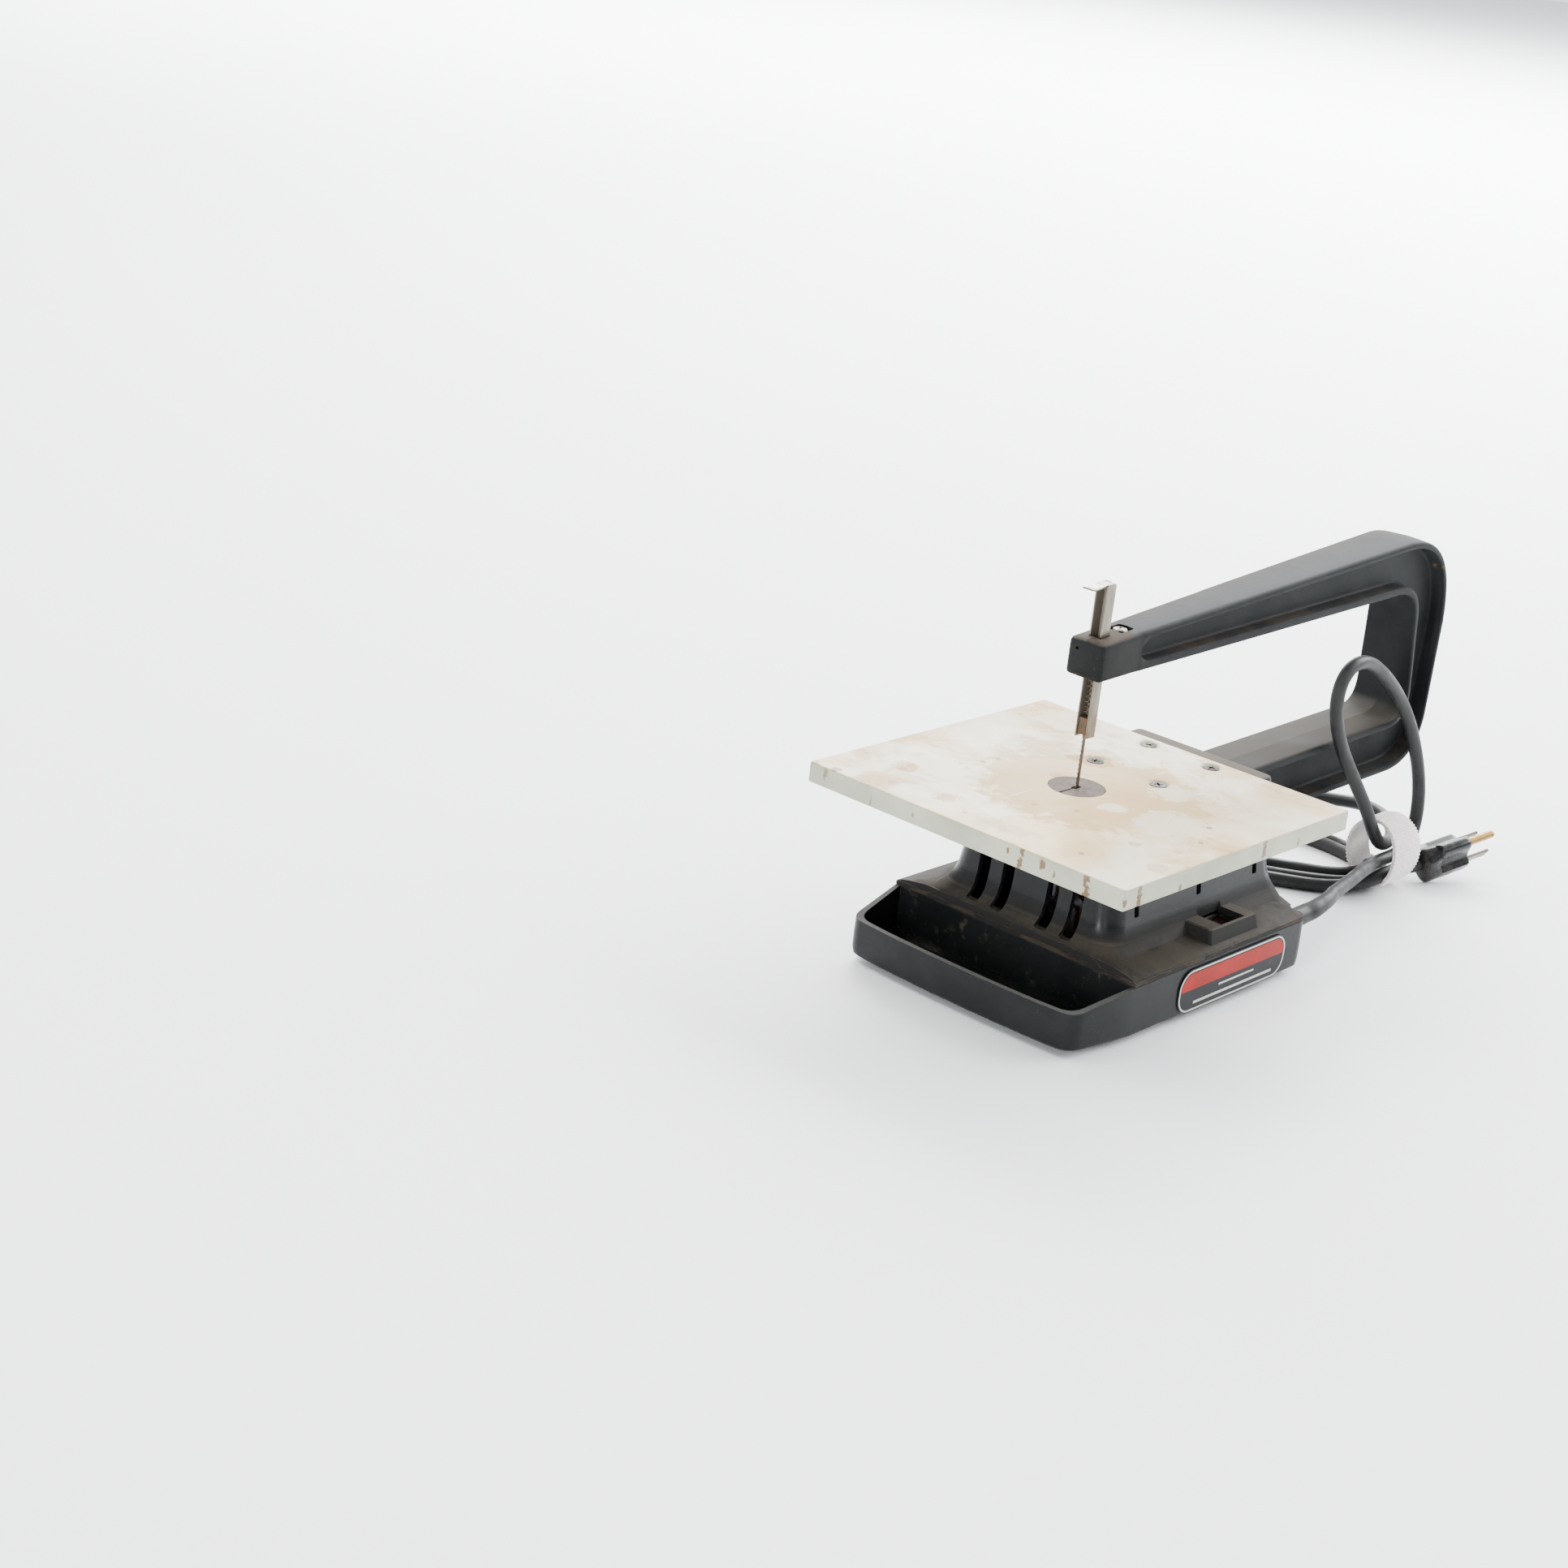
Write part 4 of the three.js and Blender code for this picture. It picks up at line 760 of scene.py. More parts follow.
def fair_line(points, step=3.0, relax=8):
    """Even points along a smooth curve through the given ones, its bends evened out as a stiff cord's are."""
    ends = [points[0] * 2 - points[1], *points, points[-1] * 2 - points[-2]]
    line = []
    for p0, p1, p2, p3 in zip(ends, ends[1:], ends[2:], ends[3:]):
        d01, d12, d23 = ((b - a).length ** 0.5 for a, b in ((p0, p1), (p1, p2), (p2, p3)))
        m1 = (p2 - p1) + d12 * ((p1 - p0) / d01 - (p2 - p0) / (d01 + d12))
        m2 = (p2 - p1) + d12 * ((p3 - p2) / d23 - (p3 - p1) / (d12 + d23))
        count = max(2, int((p2 - p1).length / step))
        for i in range(count):
            t = i / count
            a, b = 2 * t ** 3 - 3 * t ** 2 + 1, t ** 3 - 2 * t ** 2 + t
            c, d = 3 * t ** 2 - 2 * t ** 3, t ** 3 - t ** 2
            line.append(p1 * a + m1 * b + p2 * c + m2 * d)
    line.append(points[-1])
    for _ in range(relax):
        inner = [(a + b * 2 + c) / 4 for a, b, c in zip(line[4:], line[5:], line[6:-2])]
        line = line[:5] + inner + line[-3:]
    return line


def make_cord():
    line = fair_line(cord_route())
    data = bpy.data.curves.new("cord", "CURVE")
    data.dimensions = "3D"
    data.bevel_depth = CORD_D / 2 * MM
    data.bevel_resolution = 6
    data.use_fill_caps = True
    spline = data.splines.new("POLY")
    spline.points.add(len(line) - 1)
    for point, place in zip(spline.points, line):
        point.co = (*saw(*place), 1)
    spline.use_smooth = True
    cord = bpy.data.objects.new("cord", data)
    bpy.context.scene.collection.objects.link(cord)
    dress(cord, "frame", "cord_rubber", "cord_rubber", "cord_lead", "cord_loop", "cord_tail", "cord_coil")
    return cord


# ---- base tray

BASE_BOTTOM = -101
LEDGE_Y = 56                        # where the deck ends and the open tray begins
SEAM_Z = -74                        # parting line between base tray and upper housing
CORNERS = ("front_left", "front_right", "rear_left", "rear_right")
POST_R = 5.5                        # of every screw post and boss
HOUSING_SCREWS = [(-66, 74), (66, 74), (-66, 203), (66, 203)]
FEET = [(-62, 32), (62, 32), (-66, 188), (66, 188)]
CORD_EXIT = (70, 224, -77.4)


def base_plan(inset):
    """The base's outline in plan: a bowed front, straight sides and a narrower rear."""
    half, front_half = 80 - inset, 74 - inset
    front, side_rear, rear_half = 11 + inset, 214 - inset * 0.8, 55 - inset * 0.4
    right = [(0, front)]
    right += bezier(right[-1], (front_half * 0.6, front), (front_half - 8, front + 2.5), 8)
    right += bezier(right[-1], (front_half, front + 3.5), (front_half + 1, front + 12), 8)
    right += [(half, LEDGE_Y), (half, 206)]
    right += bezier(right[-1], (half, side_rear - 2), (half - 5, side_rear), 6)
    right += [(rear_half, 224 - inset)]
    return right + [(-x, y) for x, y in reversed(right[1:])]


def plan_loft(name, stations):
    """A skin over the base's plan, from (inset, z) stations."""
    return loft(name, [flat(base_plan(inset), z) for inset, z in stations])


def cord_passage():
    """A cutter for the cord's way out through the rear wall."""
    x, y, z = CORD_EXIT
    wide = lathe_y("wide", x, z, [(7.2, 190), (7.2, y - 4.4)])
    return join(wide, lathe_y("narrow", x, z, [(5.8, 191), (5.8, y + 20)]))


def make_base_tray():
    shell = plan_loft(
        "shell", [(1.6, BASE_BOTTOM), (0.5, BASE_BOTTOM + 1), (0.05, -97), (0, -88), (0.3, SEAM_Z)])
    slope = side_plate(
        "slope", [(0, -80.5), (17, -80.5), (LEDGE_Y, SEAM_Z), (LEDGE_Y, -60), (0, -60)], -120, 120)
    hollow = plan_loft("hollow", [(6.5, -98), (4.2, -97.2), (3.4, -95), (2.8, -60)])
    divider = block("divider", -78, 78, LEDGE_Y + 1, LEDGE_Y + 4, -99, SEAM_Z)
    sunk_bore = [(4.2, -103), (4.2, -97), (2.1, -97), (2.1, -70)]
    bores = [lathe("bore", x, y, sunk_bore, 24) for x, y in HOUSING_SCREWS]
    tray = join(cut(shell, slope, hollow), divider, *rods(HOUSING_SCREWS, POST_R, -99, -82))
    tray = cut(tray, *bores, *rods(FEET, 2.5, -103, -96), cord_passage())
    tray.name = "moulded_tray"
    soften(tray, 0.8, 3)
    dress(tray, "frame", "casing", "tray_plastic", "base_tray")


# ---- upper housing

BLADE_Y = 94.8
TABLE_SCREWS = [(-20.7, 138.4), (20.7, 138.4), (-20.7, 187), (20.7, 187)]
TOWER = [
    (66, 54.6, 221, -72.6), (61, 57, 220, -67), (57, 62.3, 218.5, -62), (54.4, 64.8, 216.5, -56),
    (53, 66, 214.5, -48), (50.2, 67.2, 213, -30), (47.4, 68, 212, -14), (44.7, 68.6, 211.4, -2),
]


def fill_in(rows, steps):
    """More rows between the given ones, along a smooth curve."""
    rows = [Vector(row) for row in rows]
    ends = [rows[0], *rows, rows[-1]]
    made = []
    for p0, p1, p2, p3 in zip(ends, ends[1:], ends[2:], ends[3:]):
        for i in range(steps):
            t = i / steps
            made.append(0.5 * (
                2 * p1 + (p2 - p0) * t + (2 * p0 - 5 * p1 + 4 * p2 - p3) * t ** 2
                + (3 * p1 - p0 - 3 * p2 + p3) * t ** 3))
    return made + [rows[-1]]


def tower_loft(name, rows, r):
    """Rounded rectangles, their corners tighter in the strip that stands up behind the table."""
    rings = []
    for half, front, rear, z in rows:
        corner = min(r, max(2.5, -z - 10))
        rings.append(flat(rounded_rect(-half, half, front, rear, corner, 10), z))
    return loft(name, rings)


def tower_skin():
    half, front, rear, z = TOWER[-1]
    rounded_top = [(half, front, rear, z - 1.6), (half - 0.4, front + 0.3, rear - 0.3, z - 0.6),
                   (half - 1.4, front + 1.2, rear - 1.2, z)]
    return tower_loft("tower", fill_in(TOWER[:-1], 4) + rounded_top, 13)


def tower_hollow():
    rows = [(58, 60, 216, -80), (57, 61, 216, -67), (53.5, 65.6, 214.5, -62), (51.2, 67.9, 212.8, -56),
            (49.9, 69.1, 211, -48), (47.2, 70.3, 209.6, -30), (45, 71.2, 208.8, -17)]
    return tower_loft("tower_hollow", rows, 11)


def front_vent(x):
    outline = rounded_rect(x - 3.75, x + 3.75, -65.8, -22, 1.2, 4)
    return loft("vent", [upright(outline, 50), upright(outline, 76)])


def side_vent(side, y):
    inner, outer = sorted((side * 40, side * 64))
    return side_plate("side_vent", rounded_rect(y - 2, y + 2, -52, -22, 0.8, 4), inner, outer)


def switch_boss():
    """The raised surround of the switch, its sides drawn in towards the top."""
    rings = []
    for grow_in, grow_out, grow_end, z in ((0.5, 3.6, 2.4, -73), (0.3, 2.4, 1.4, -69.5), (0, 0.6, 0.3, -62.7),
                                           (-0.7, -0.4, -0.5, -62)):
        rings.append(flat(rounded_rect(
            54 - grow_in, 72.6 + grow_out, 128 - grow_end, 170 + grow_end, 1.6, 4), z))
    return loft("boss", rings)


def ahead_of(y, low=-100, high=0):
    """A cutter for everything in front of a line."""
    return block("ahead", -120, 120, 0, y, low, high)


def make_upper_housing():
    rim = cut(plan_loft("rim", [(0.4, -73.7), (0.35, -72.2), (0.7, -71.4), (1.4, -71.1)]), ahead_of(LEDGE_Y))
    crown = plan_loft("crown", [(1.2, -71.7), (2.2, -70.9), (4, -70.2), (9, -69), (20, -67.5)])
    crown = cut(crown, ahead_of(LEDGE_Y + 0.6))
    under = cut(plan_loft("under", [(7, -75), (8, -73.5), (23, -70.5)]), ahead_of(LEDGE_Y + 3))
    tower = cut(tower_skin(), ahead_of(LEDGE_Y + 0.3, -100, -60))
    body = join(rim, crown, tower, switch_boss())
    body = cut(body, ahead_of(197.4, -14, 20), tower_hollow(), under)
    posts = rods(HOUSING_SCREWS, POST_R, -81.7, -70.5) + rods(TABLE_SCREWS, POST_R, -15, -3.6)
    drills = rods(HOUSING_SCREWS, 2.1, -90, -74.6) + rods(TABLE_SCREWS, 2.4, -19, 0)
    switch_hole = plate("switch_hole", rounded_rect(55.5, 72, 139, 160.5, 0.6, 3), -80, -55)
    nick = plate("nick", [(58.5, 174.2), (64.5, 173.6), (64.6, 174.8), (58.6, 175.4)], -68.6, -60)
    arm_hole = block("arm_hole", -18.1, 18.1, 200, 230, -46.3, -11.9)
    plunger_hole = lathe("plunger_hole", 0, BLADE_Y, [(6, -20), (6, -10)], 32)
    vents = [front_vent(x) for x in (-30.5, -14.7, 14.7, 30.5)]
    vents += [side_vent(side, y) for side in (-1, 1) for y in (87, 142, 194)]
    housing = cut(
        join(body, *posts), *drills, switch_hole, nick, arm_hole, plunger_hole, *vents, cord_passage())
    housing.name = "moulded_housing"
    soften(housing, 0.5, 2, 38)
    dress(housing, "frame", "casing", "housing_plastic", "upper_housing")


# ---- table and insert

TABLE_HALF = 101.6
TABLE_REAR = 196.9
INSERT_R = 14.9


def make_table():
    rings = []
    edge = [(0.25, 1.6, -10.9), (0, 1.6, -10.6), (0, 1.6, -1.3), (0.15, 1.5, -0.7), (0.55, 1.3, -0.2),
            (1.2, 1, 0)]
    for inset, r, z in edge:
        half = TABLE_HALF - inset
        rings.append(flat(rounded_rect(-half, half, inset, TABLE_REAR - inset, r), z))
    pan = loft("pan", rings)
    inner = plate("inner", rounded_rect(-100.4, 100.4, 1.2, 195.7, 0.6, 3), -12, -1.2)
    seat = lathe("seat", 0, BLADE_Y, [(18, -2.6), (18, -0.6)], 64)
    cups = [lathe("cup", x, y, [(4.4, -3.4), (8, -0.6)], 32) for x, y in TABLE_SCREWS]
    seat_cut = lathe("seat_cut", 0, BLADE_Y, [(INSERT_R + 0.25, -1.5), (INSERT_R + 0.25, 1)], 72)
    seat_hole = lathe("seat_hole", 0, BLADE_Y, [(12, -4), (12, 1)])
    dimple = [(2.9, -5), (2.9, -2.1), (3.6, -1.9), (5.3, -0.7), (6.4, -0.15), (7.4, 0.05)]
    dimples = [lathe("dimple", x, y, dimple) for x, y in TABLE_SCREWS]
    table = cut(join(cut(pan, inner), seat, *cups), seat_cut, seat_hole, *dimples)
    table.name = "enamelled_table"
    smooth(table, 32)
    dress(table, "frame", "table_paint", "enamel", "table")


def make_insert():
    r = INSERT_R
    disc = lathe("throat_insert", 0, BLADE_Y, [(r - 0.3, -1.2), (r, -0.9), (r, -0.3), (r - 0.3, -0.05)], 72)
    hole = block("hole", -1.6, 1.6, BLADE_Y - 3.4, BLADE_Y + 2.6, -3, 1)
    slit = block("slit", -0.6, 0.6, BLADE_Y - 17, BLADE_Y - 3, -3, 1)
    smooth(cut(disc, hole, slit), 30)
    dress(disc, "frame", "insert_plastic", "insert_plastic", "table_insert")


def cross_screw(name, x, y, top, turn, profile):
    """A screw of one profile, with a cross recess in its head."""
    screw = lathe(name, x, y, profile, 40)
    r = max(radius for radius, z in profile)
    for angle in (turn, turn + 90):
        a = math.radians(angle)
        along, across = Vector((math.cos(a), math.sin(a))), Vector((-math.sin(a), math.cos(a)))
        rings = []
        for reach, z in ((0.22, top - 1.7), (0.58, top + 0.4)):
            corners = [along * r * reach * i + across * 0.5 * j for i, j in rectangle(1, -1, 1, -1)]
            rings.append([(x + c.x, y + c.y, z) for c in corners])
        cut(screw, loft("recess", rings))
    smooth(screw, 30)
    return screw


def make_table_screws():
    top, r, shank_r = -0.5, 4.6, 1.8
    profile = [(shank_r, -16.9), (shank_r, top - 1.9), (r - 0.15, top - 0.2), (r - 0.3, top - 0.05),
               (r * 0.5, top + 0.1)]
    for corner, (x, y), turn in zip(CORNERS, TABLE_SCREWS, (20, 52, 75, 8)):
        screw = cross_screw(f"countersunk_{corner}", x, y, top, turn, profile)
        dress(screw, "frame", "zinc", "screw_steel", f"table_screw_{corner}")


def make_lock_screw():
    top, r, shank_r = 83.6, 3.9, 1.7
    profile = [(shank_r, 71.5), (shank_r, top - 2.2), (r, top - 2.2), (r, top - 1.1), (r * 0.9, top - 0.5),
               (r * 0.6, top - 0.1), (r * 0.3, top)]
    screw = cross_screw("lock_screw_head", 0, 112.5, top, 30, profile)
    dress(screw, "lock_screw", "zinc", "zinc_plate", "channel_lock_screw")


# ---- arm

ARM_RUNS = [
    # steps, outer curve and inner curve in (y, z); a curve of three points is a quadratic bend
    (36, [(83.5, 81.6), (372, 100.4)], [(83.5, 60.9), (366, 68.8)]),
    (18, [(372, 100.4), (424, 101), (426, 45)], [(366, 68.8), (387, 69.4), (388.5, 50)]),
    (8, [(426, 45), (422, -14)], [(388.5, 50), (393.5, 8)]),
    (18, [(422, -14), (418, -43), (385, -43.4)], [(393.5, 8), (395.5, -9), (376, -9.2)]),
    (20, [(385, -43.4), (205, -46)], [(376, -9.2), (205, -12.6)]),
]
ARM_FLANGE = 5
NOSE_FRONT = 83.5
NOSE_BACK = 119
NOSE_HALF = 11
NOSE_ROUND = 3.4


def arm_half_width(y, z):
    reach = min(1, max(0, (y - NOSE_FRONT) / 300))
    upper = 10.2 + 5.6 * reach ** 0.8
    t = min(1, max(0, (z + 20) / 85))
    rise = t * t * (3 - 2 * t)
    return 17.8 + (upper - 17.8) * rise


def arm_stations():
    """Matching points on the arm's outer and inner outlines, from the nose round to the root."""
    fine = [0.5, 1.1, 2, 3.4]
    beam = 289.1                    # length of the first run
    near = [d / beam for d in fine]
    wall = (NOSE_BACK - NOSE_FRONT) / (372 - NOSE_FRONT)
    pocket = [wall + d / beam for d in (-2, -0.5, -0.1, 0, 0.4, 1, 2, 3.2, 4.6, 6.2, 8)]
    stations = []
    for index, (steps, outer, inner) in enumerate(ARM_RUNS):
        shares = [i / steps for i in range(steps)]
        if index == 0:
            shares = sorted(set([s for s in shares if s == 0 or s > near[-1]] + near + pocket))
        for t in shares:
            stations.append((run_point(outer, t), run_point(inner, t)))
    stations.append((run_point(outer, 1), run_point(inner, 1)))
    stations.append((Vector((200, -46)), Vector((200, -17.5))))
    stations.append((Vector((126, -46)), Vector((126, -17.5))))
    return stations


def run_point(curve, t):
    points = [Vector(p) for p in curve]
    if len(points) == 2:
        return points[0].lerp(points[1], t)
    return points[0] * (1 - t) ** 2 + points[1] * 2 * t * (1 - t) + points[2] * t * t


def arm_section(outer, inner, half, web, flange, edge, inset, bow):
    """One I-shaped ring across the arm.

    web is the web's half thickness, edge the outer corners' radius, inset how far the whole ring is drawn in,
    and bow how far its sides lean back from the middle.
    """
    depth = (inner - outer).length
    lip, root, low = 1.1, 1.8, 1.8
    chamfer = lip if web < half - 1 else 0
    side = [(0, 0), (half * 0.5, 0.4), (half - edge, 0.75)]
    side += arc(half - edge, 0.75 + edge, edge, -90, 0, 4)[1:]
    hollow = [(half, flange - lip), (half - chamfer * 0.3, flange - lip * 0.3), (half - chamfer, flange)]
    hollow += [(min(x, half), u) for x, u in arc(web + root, flange + 0.4 + root, root, 270, 180, 3)]
    side += hollow + [(x, depth - u) for x, u in reversed(hollow)]
    side += arc(half - low, depth - low, low, 0, 90, 4) + [(half * 0.4, depth), (0, depth)]
    ring = side + [(-x, u) for x, u in reversed(side[1:-1])]
    down = (inner - outer) / depth
    points = []
    for x, u in ring:
        x *= 1 - inset / half
        u = depth / 2 + (u - depth / 2) * (1 - 2 * inset / depth)
        place = outer + down * u
        points.append((x, place.x + abs(x) * bow, place.y))
    return points


def make_arm():
    rings = []
    for outer, inner in arm_stations():
        half = arm_half_width((outer.x + inner.x) / 2, (outer.y + inner.y) / 2)
        depth = (inner - outer).length
        along = outer.x - NOSE_FRONT
        top = outer.y > 60 and outer.x < 200
        if top:
            mix = min(1, max(0, (outer.x - NOSE_BACK + 2) / 4))
            half = NOSE_HALF + (half - NOSE_HALF) * mix * mix * (3 - 2 * mix)
        web, flange = half * 0.42, ARM_FLANGE
        if top and outer.x <= NOSE_BACK + 0.05:
            web, flange = half, min(13, depth / 2 - 2.6)
        elif outer.x <= 201 and outer.y < 0:
            web = half
        elif top and outer.x < NOSE_BACK + 8:
            d = 8 - (outer.x - NOSE_BACK)
            flange = ARM_FLANGE + 8 - math.sqrt(max(0, 64 - d * d))
            flange = min(flange, depth / 2 - 2.6)
        inset = 0
        if top and along < NOSE_ROUND:
            inset = NOSE_ROUND - math.sqrt(max(0, NOSE_ROUND ** 2 - (NOSE_ROUND - along) ** 2))
        edge = 2.6 if top else 2.2
        bow = 0.07 * max(0, 1 - along / 5) if top else 0
        rings.append(arm_section(outer, inner, half, web, flange, edge, inset * 0.8, bow))
    arm = loft("moulded_arm", rings)
    channel_hole = block("channel_hole", -4.05, 4.05, 90.5, 99.1, 50, 95)
    pocket = plate("pocket", rounded_rect(-5, 5, 107, 118, 1.2, 4), 81, 95)
    pin_hole = lathe_y("pin_hole", -4.7, 75.7, [(1.1, 80), (1.1, 88)], 16)
    screw_bore = lathe("screw_bore", 0, 112.5, [(2, 70), (2, 85)], 24)
    arm = cut(arm, channel_hole, pocket, pin_hole, screw_bore)
    smooth(arm, 40, ridge=True)
    dress(arm, "frame", "arm_plastic", "arm_plastic", "arm")


# ---- blade guide


def make_channel():
    """The folded strip that guides the blade: a trough open to the front, its back turned forward as a tab."""
    outer = plate("trough", rounded_rect(-3.75, 3.75, 90.8, 98.8, 0.8, 4), 28, 110)
    hollow = plate("trough_hollow", rounded_rect(-2.9, 2.9, 85, 97.95, 0.35, 3), 20, 120)
    front = block("front", -5, 5, 90, 91.2, 20, 120)
    low_left = block("low_left", -5, 0, 88, 97.9, 107.6, 112)
    back = [(99, 107.6), (98.8, 108.6), (98.2, 109.5), (97, 110.01), (99, 111)]
    round_back = side_plate("round_back", back, 0, 5)
    notch = block("notch", -2.9, 2.9, 97, 100, 20, 30.5)
    trough = cut(outer, hollow, front, low_left, round_back, notch)
    tab_side = [
        (97.9, 105.5), (98.8, 105.5), (98.8, 108.6), (98.3, 109.4), (97.2, 109.95), (93, 109.9), (87, 109.1),
        (82, 108.6), (79.6, 109), (79.5, 108.3), (82, 107.8), (87, 108.3), (93, 109.1), (96.8, 109.15),
        (97.6, 108.8), (97.9, 108.1)]
    tab = side_plate("tab", tab_side, -3.75, 2.95)
    trough = join(trough, tab)
    trough.name = "folded_channel"
    soften(trough, 0.15, 2, 40)
    dress(trough, "guide_channel", "nickel", "channel_nickel", "blade_channel")


# ---- switch and label


def make_rocker():
    """The rocker's button, dished between its two raised ends."""
    pivot_y, pivot_z = 149.75, -72
    dish = [(7.6, 4.6), (6.4, 4.5), (4, 3.5), (1.6, 3), (-1.6, 3), (-4, 3.5), (-6.4, 4.5), (-7.6, 4.6)]
    outline = [(-7.6, -0.6), (-2.6, -3.6), (2.6, -3.6), (7.6, -0.6)] + dish
    rocker = side_plate("rocker_button", [(pivot_y + y, pivot_z + z) for y, z in outline], 57.8, 69.7)
    bore = side_plate("bore", circle(pivot_y, pivot_z, 1, 24), 50, 80)
    rocker = cut(rocker, bore)
    soften(rocker, 0.35, 2, 40)
    dress(rocker, "switch", "switch_red", "switch_red", "switch_rocker")


def inset_label(inset):
    """The label's outline in (y, z), drawn in by an inset."""
    return rounded_rect(95.2 + inset, 193.4 - inset, -100.3 + inset, -75.6 - inset, 10.5 - inset, 12)


def make_label():
    film = side_plate("label_film", inset_label(0), 80.3, 80.62)
    dress(film, "frame", "label", "label_dark", "label_plate")
    line = side_plate("label_line", inset_label(0.7), 80.5, 80.72)
    cut(line, side_plate("inside", inset_label(1.6), 80, 81.5))
    dress(line, "frame", "label", "label_white")
    band = side_plate("label_band", inset_label(2.4), 80.5, 80.7)
    combine(band, [side_plate("above", rectangle(80, 210, -87.4, -70), 80, 82)], "INTERSECT")
    dress(band, "frame", "label", "label_red")
    rules = {"label_rule_upper": (132, 164, -91.1, -90.1), "label_rule_lower": (110, 182, -96, -94.6)}
    for name, sides in rules.items():
        dress(side_plate(name, rectangle(*sides), 80.5, 80.7), "frame", "label", "label_white")


# ---- cord fittings


def make_strain_relief():
    """A rubber sleeve that bends with the cord."""
    stations = [(70, 208, -77.4, 6.7), (70, 211, -77.4, 6.7), (70, 211.4, -77.4, 5.4), (70, 221, -77.4, 5.4),
                (70.3, 225, -77, 5.3), (71.6, 231, -75.8, 5.1), (71.6, 238, -74.8, 4.85), (71, 244, -74.2, 4.6),
                (69.6, 251, -74, 4.35), (67.6, 257, -74, 4.2), (66.8, 259.8, -74.1, 4.2)]
    rows = fill_in(stations[:3], 1) + fill_in(stations[3:], 8)
    rings = [upright(circle(x, z, r, 32), y) for x, y, z, r in rows]
    sleeve = loft("strain_sleeve", rings)
    smooth(sleeve, 60)
    dress(sleeve, "frame", "cord_rubber", "cord_rubber", "strain_relief")


def make_tie():
    """A ribbed hook-and-loop strap round the strands, its plain end low down, flared forward on one side."""
    ribs, steps = 62, 8
    rings = []
    for i in range(ribs * steps):
        t = math.tau * i / (ribs * steps)
        plain = math.radians(232) < t < math.radians(304)
        rib = 0.5 + 0.5 * math.cos(t * ribs)
        out = 0.3 if plain else 0.85 * rib ** 0.6
        lean = 0.9 * math.sin(t * 2 + 0.7) + (0.5 if plain else 0)
        flare = 5.5 * max(0.0, math.cos(t)) ** 1.5
        section = []
        skin = [(0.9 - out, -1), (0.75 - out, -0.95), (0.75 - out, 0.95), (0.9 - out, 1)]
        for depth, v in [(2.2, -1), *skin, (2.2, 1)]:
            y = TIE["y"] + v * (TIE["width"] / 2 - 0.9) + lean - (flare if v < 0 else 0)
            x = TIE["x"] + (TIE["half_x"] - depth) * math.cos(t)
            z = TIE["z"] + (TIE["half_z"] - depth) * math.sin(t)
            section.append((x, y, z))
        rings.append(section)
    strap = loft("ribbed_strap", rings, closed=True)
    smooth(strap, 50)
    dress(strap, "frame", "tie_fabric", "hook_and_loop", "cord_tie")


# How the plug lies: the middle of its face, and its turns in degrees. It is made about its own axes, with
# its pins along +y and the ground pin above the blades.
PLUG = {"face": (53.3, 426.8, -90.2), "length": 34, "azimuth": 16, "rise": 10.4, "roll": 39.3}

# Half of its outline, from the top of the ridge down to the flat side: at the back and at the face.
PLUG_BACK = [(0, 12), (3, 11.8), (5.2, 11), (6.2, 9.4), (7, 7.4), (7.9, 6.2), (9, 5.3), (10.4, 4.4), (11, 2.6),
             (11.1, -1.5), (10.6, -3.2), (9, -4.6), (0, -4.9)]
PLUG_FACE = [(0, 16.1), (2.2, 15.6), (3.6, 14.2), (4.2, 12), (4.6, 9), (5.5, 6.8), (7.1, 5.3), (9, 4.9),
             (10.6, 3.8), (11, 1), (10.6, -3.2), (9, -4.6), (0, -4.9)]


def lay_plug(piece):
    turn = Matrix.Translation(saw(*PLUG["face"]))
    for degrees, axis in ((-PLUG["azimuth"], "Z"), (PLUG["rise"], "X"), (PLUG["roll"], "Y")):
        turn = turn @ Matrix.Rotation(math.radians(degrees), 4, axis)
    piece.data.transform(turn @ Matrix.Translation(-ORIGIN))


def plug_ring(y, share, scale):
    """A ring of the plug: share runs from the back's outline to the face's."""
    half = [((x0 + (x1 - x0) * share) * scale, (z0 + (z1 - z0) * share) * scale)
            for (x0, z0), (x1, z1) in zip(PLUG_BACK, PLUG_FACE)]
    return [(x, y, z) for x, z in half + [(-x, z) for x, z in half[-2:0:-1]]]


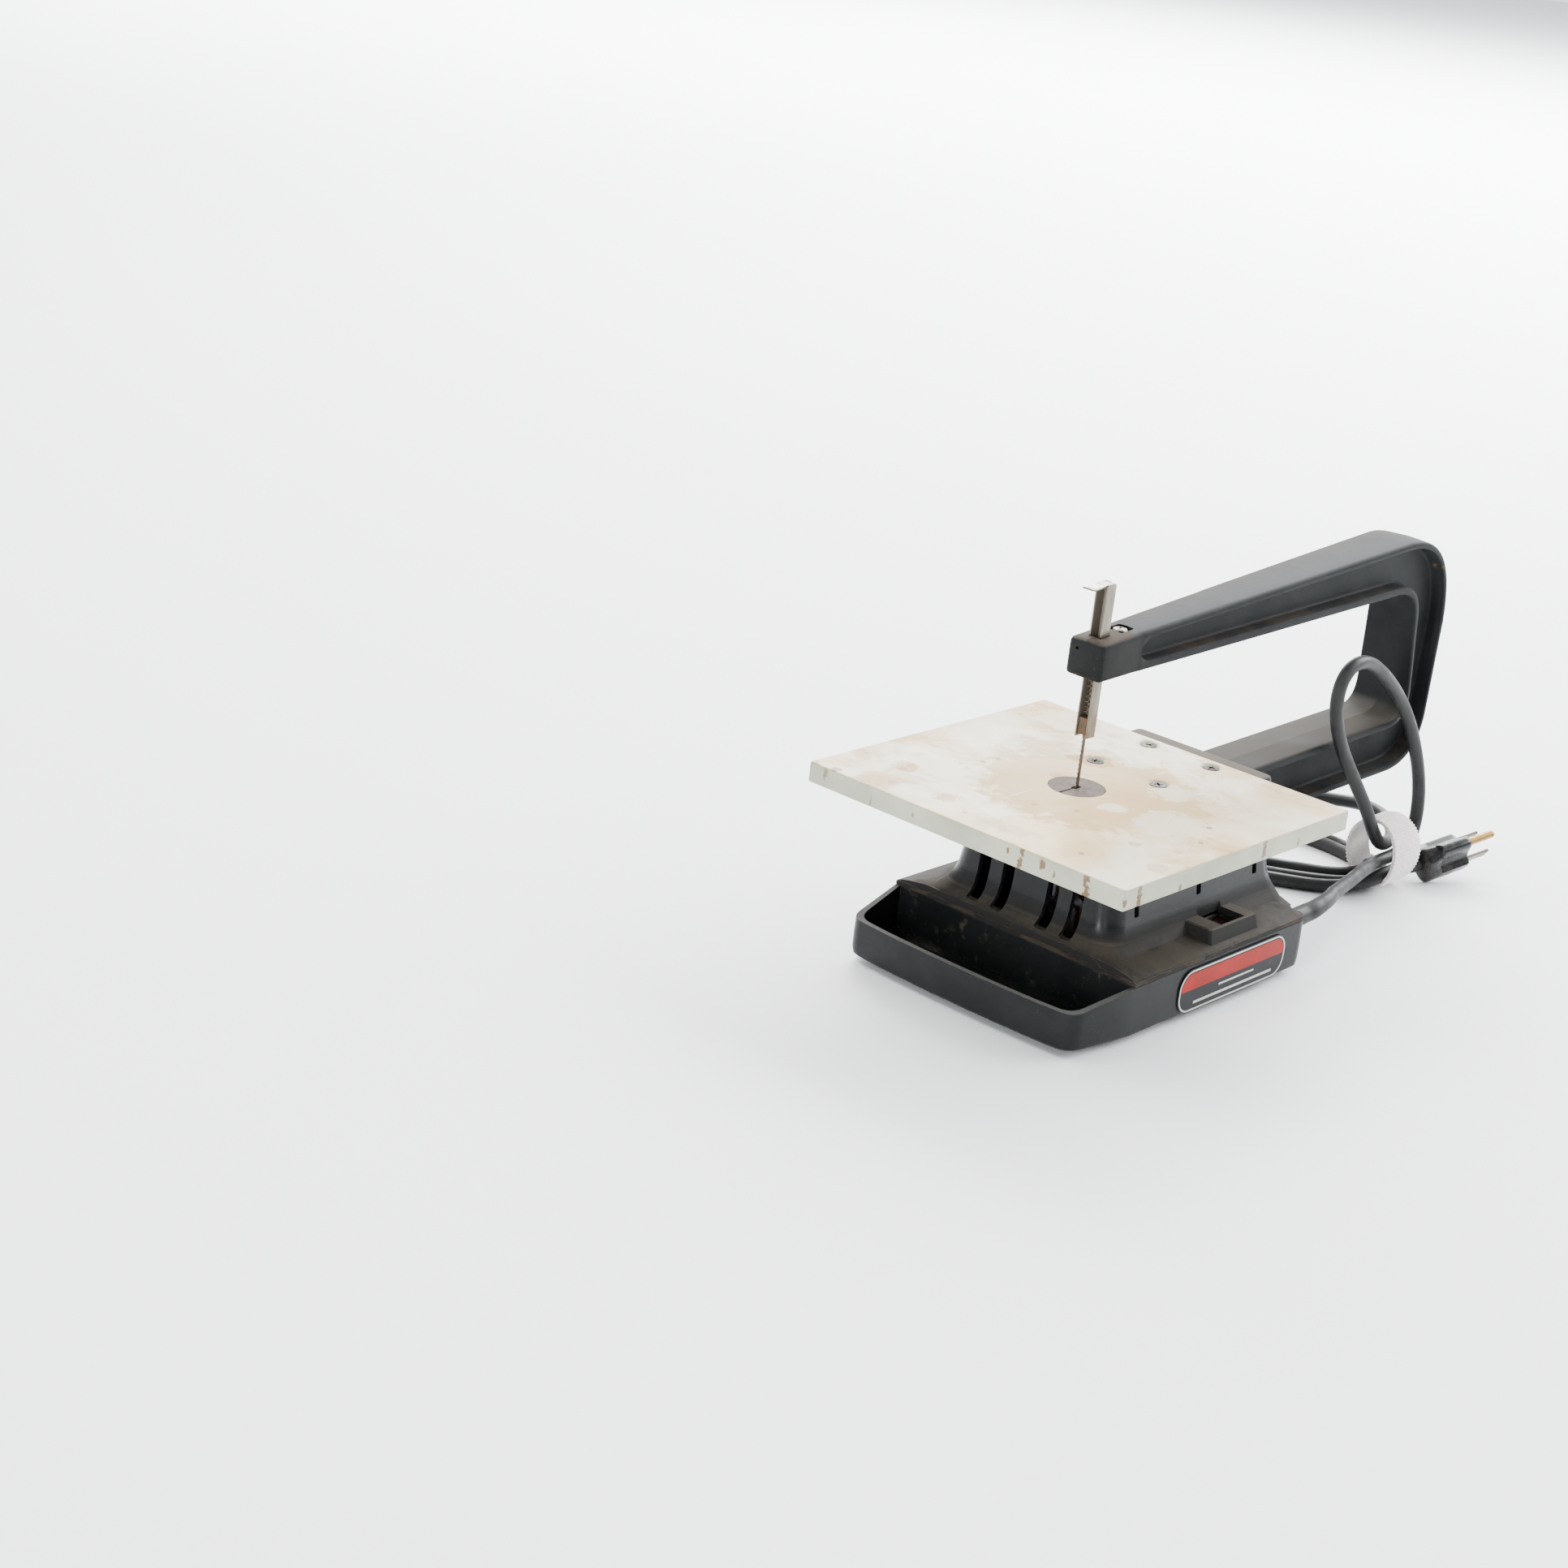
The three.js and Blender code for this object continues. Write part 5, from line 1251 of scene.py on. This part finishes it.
def make_plug():
    """The moulded plug: a plain back, a step, and a grooved body whose ridge holds the ground pin."""
    back = -PLUG["length"]
    stations = [
        (back, 0, 0.6), (back + 0.5, 0, 0.8), (back + 1.4, 0, 0.92), (back + 3, 0, 0.98), (back + 5, 0.05, 1),
        (-27, 0.15, 1), (-23.2, 0.3, 1), (-22.9, 0.45, 1), (-22.6, 0.8, 0.99), (-22, 1, 1), (-21, 1, 1),
        (-12, 1, 1), (-3, 1, 1), (-1.4, 1, 0.99), (-0.5, 1, 0.965), (0, 1, 0.91)]
    plug = loft("plug_moulding", [plug_ring(*station) for station in stations])
    smooth(plug, 40)
    lay_plug(plug)
    dress(plug, "frame", "plug_vinyl", "plug_vinyl", "plug_body")


# ---- pieces that keep the CAD's surfaces

# The slot, material and edge rounding in millimetres, and the pieces.
KEPT = [
    ("foot_rubber", "foot_rubber", 0.6, [f"foot_{corner}" for corner in CORNERS]),
    ("zinc", "zinc_plate", 0.2, [
        *(f"housing_screw_{corner}" for corner in CORNERS), "arm_bolt_front", "arm_bolt_rear",
        "guide_screw_left", "guide_screw_right", "motor_screw_upper", "motor_screw_lower"]),
    ("nickel", "nickel_plate", 0.1, ["plug_blade_lower", "plug_blade_upper"]),
    ("dark_steel", "dark_steel", 0.08, [
        "blade", "blade_pin_upper", "blade_pin_lower", "blade_plunger", "spring_pin", "tension_spring",
        "motor_shaft", "switch_pin"]),
    ("dark_steel", "rusted_hook", 0.15, ["upper_blade_hook"]),
    ("dark_steel", "laminations", 0, ["stator_core", "rotor"]),
    ("cast_metal", "cast_metal", 0.4, [
        "plunger_guide", "crank_disc", "motor_bracket_front", "motor_bracket_rear"]),
    ("bronze", "sintered_bronze", 0.15, [
        "guide_bush_lower", "guide_bush_upper", "shaft_bush_front", "shaft_bush_rear"]),
    ("copper", "winding", 0.5, ["stator_coil"]),
    ("fan_nylon", "fan_nylon", 0.2, ["cooling_fan"]),
    ("pin_brass", "pin_brass", 0.3, ["ground_pin"]),
    ("casing", "switch_case", 0.15, ["switch_body"]),
]


def finish_kept_pieces():
    for slot, material, width, names in KEPT:
        for name in names:
            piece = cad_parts[name]
            coat(piece, material)
            if width:
                soften(piece, width, 2, 40)


make_camera()
make_materials()
make_studio()
cord = make_cord()
make_base_tray()
make_upper_housing()
make_table()
make_insert()
make_table_screws()
make_arm()
make_channel()
make_lock_screw()
make_rocker()
make_label()
make_strain_relief()
make_tie()
make_plug()
finish_kept_pieces()
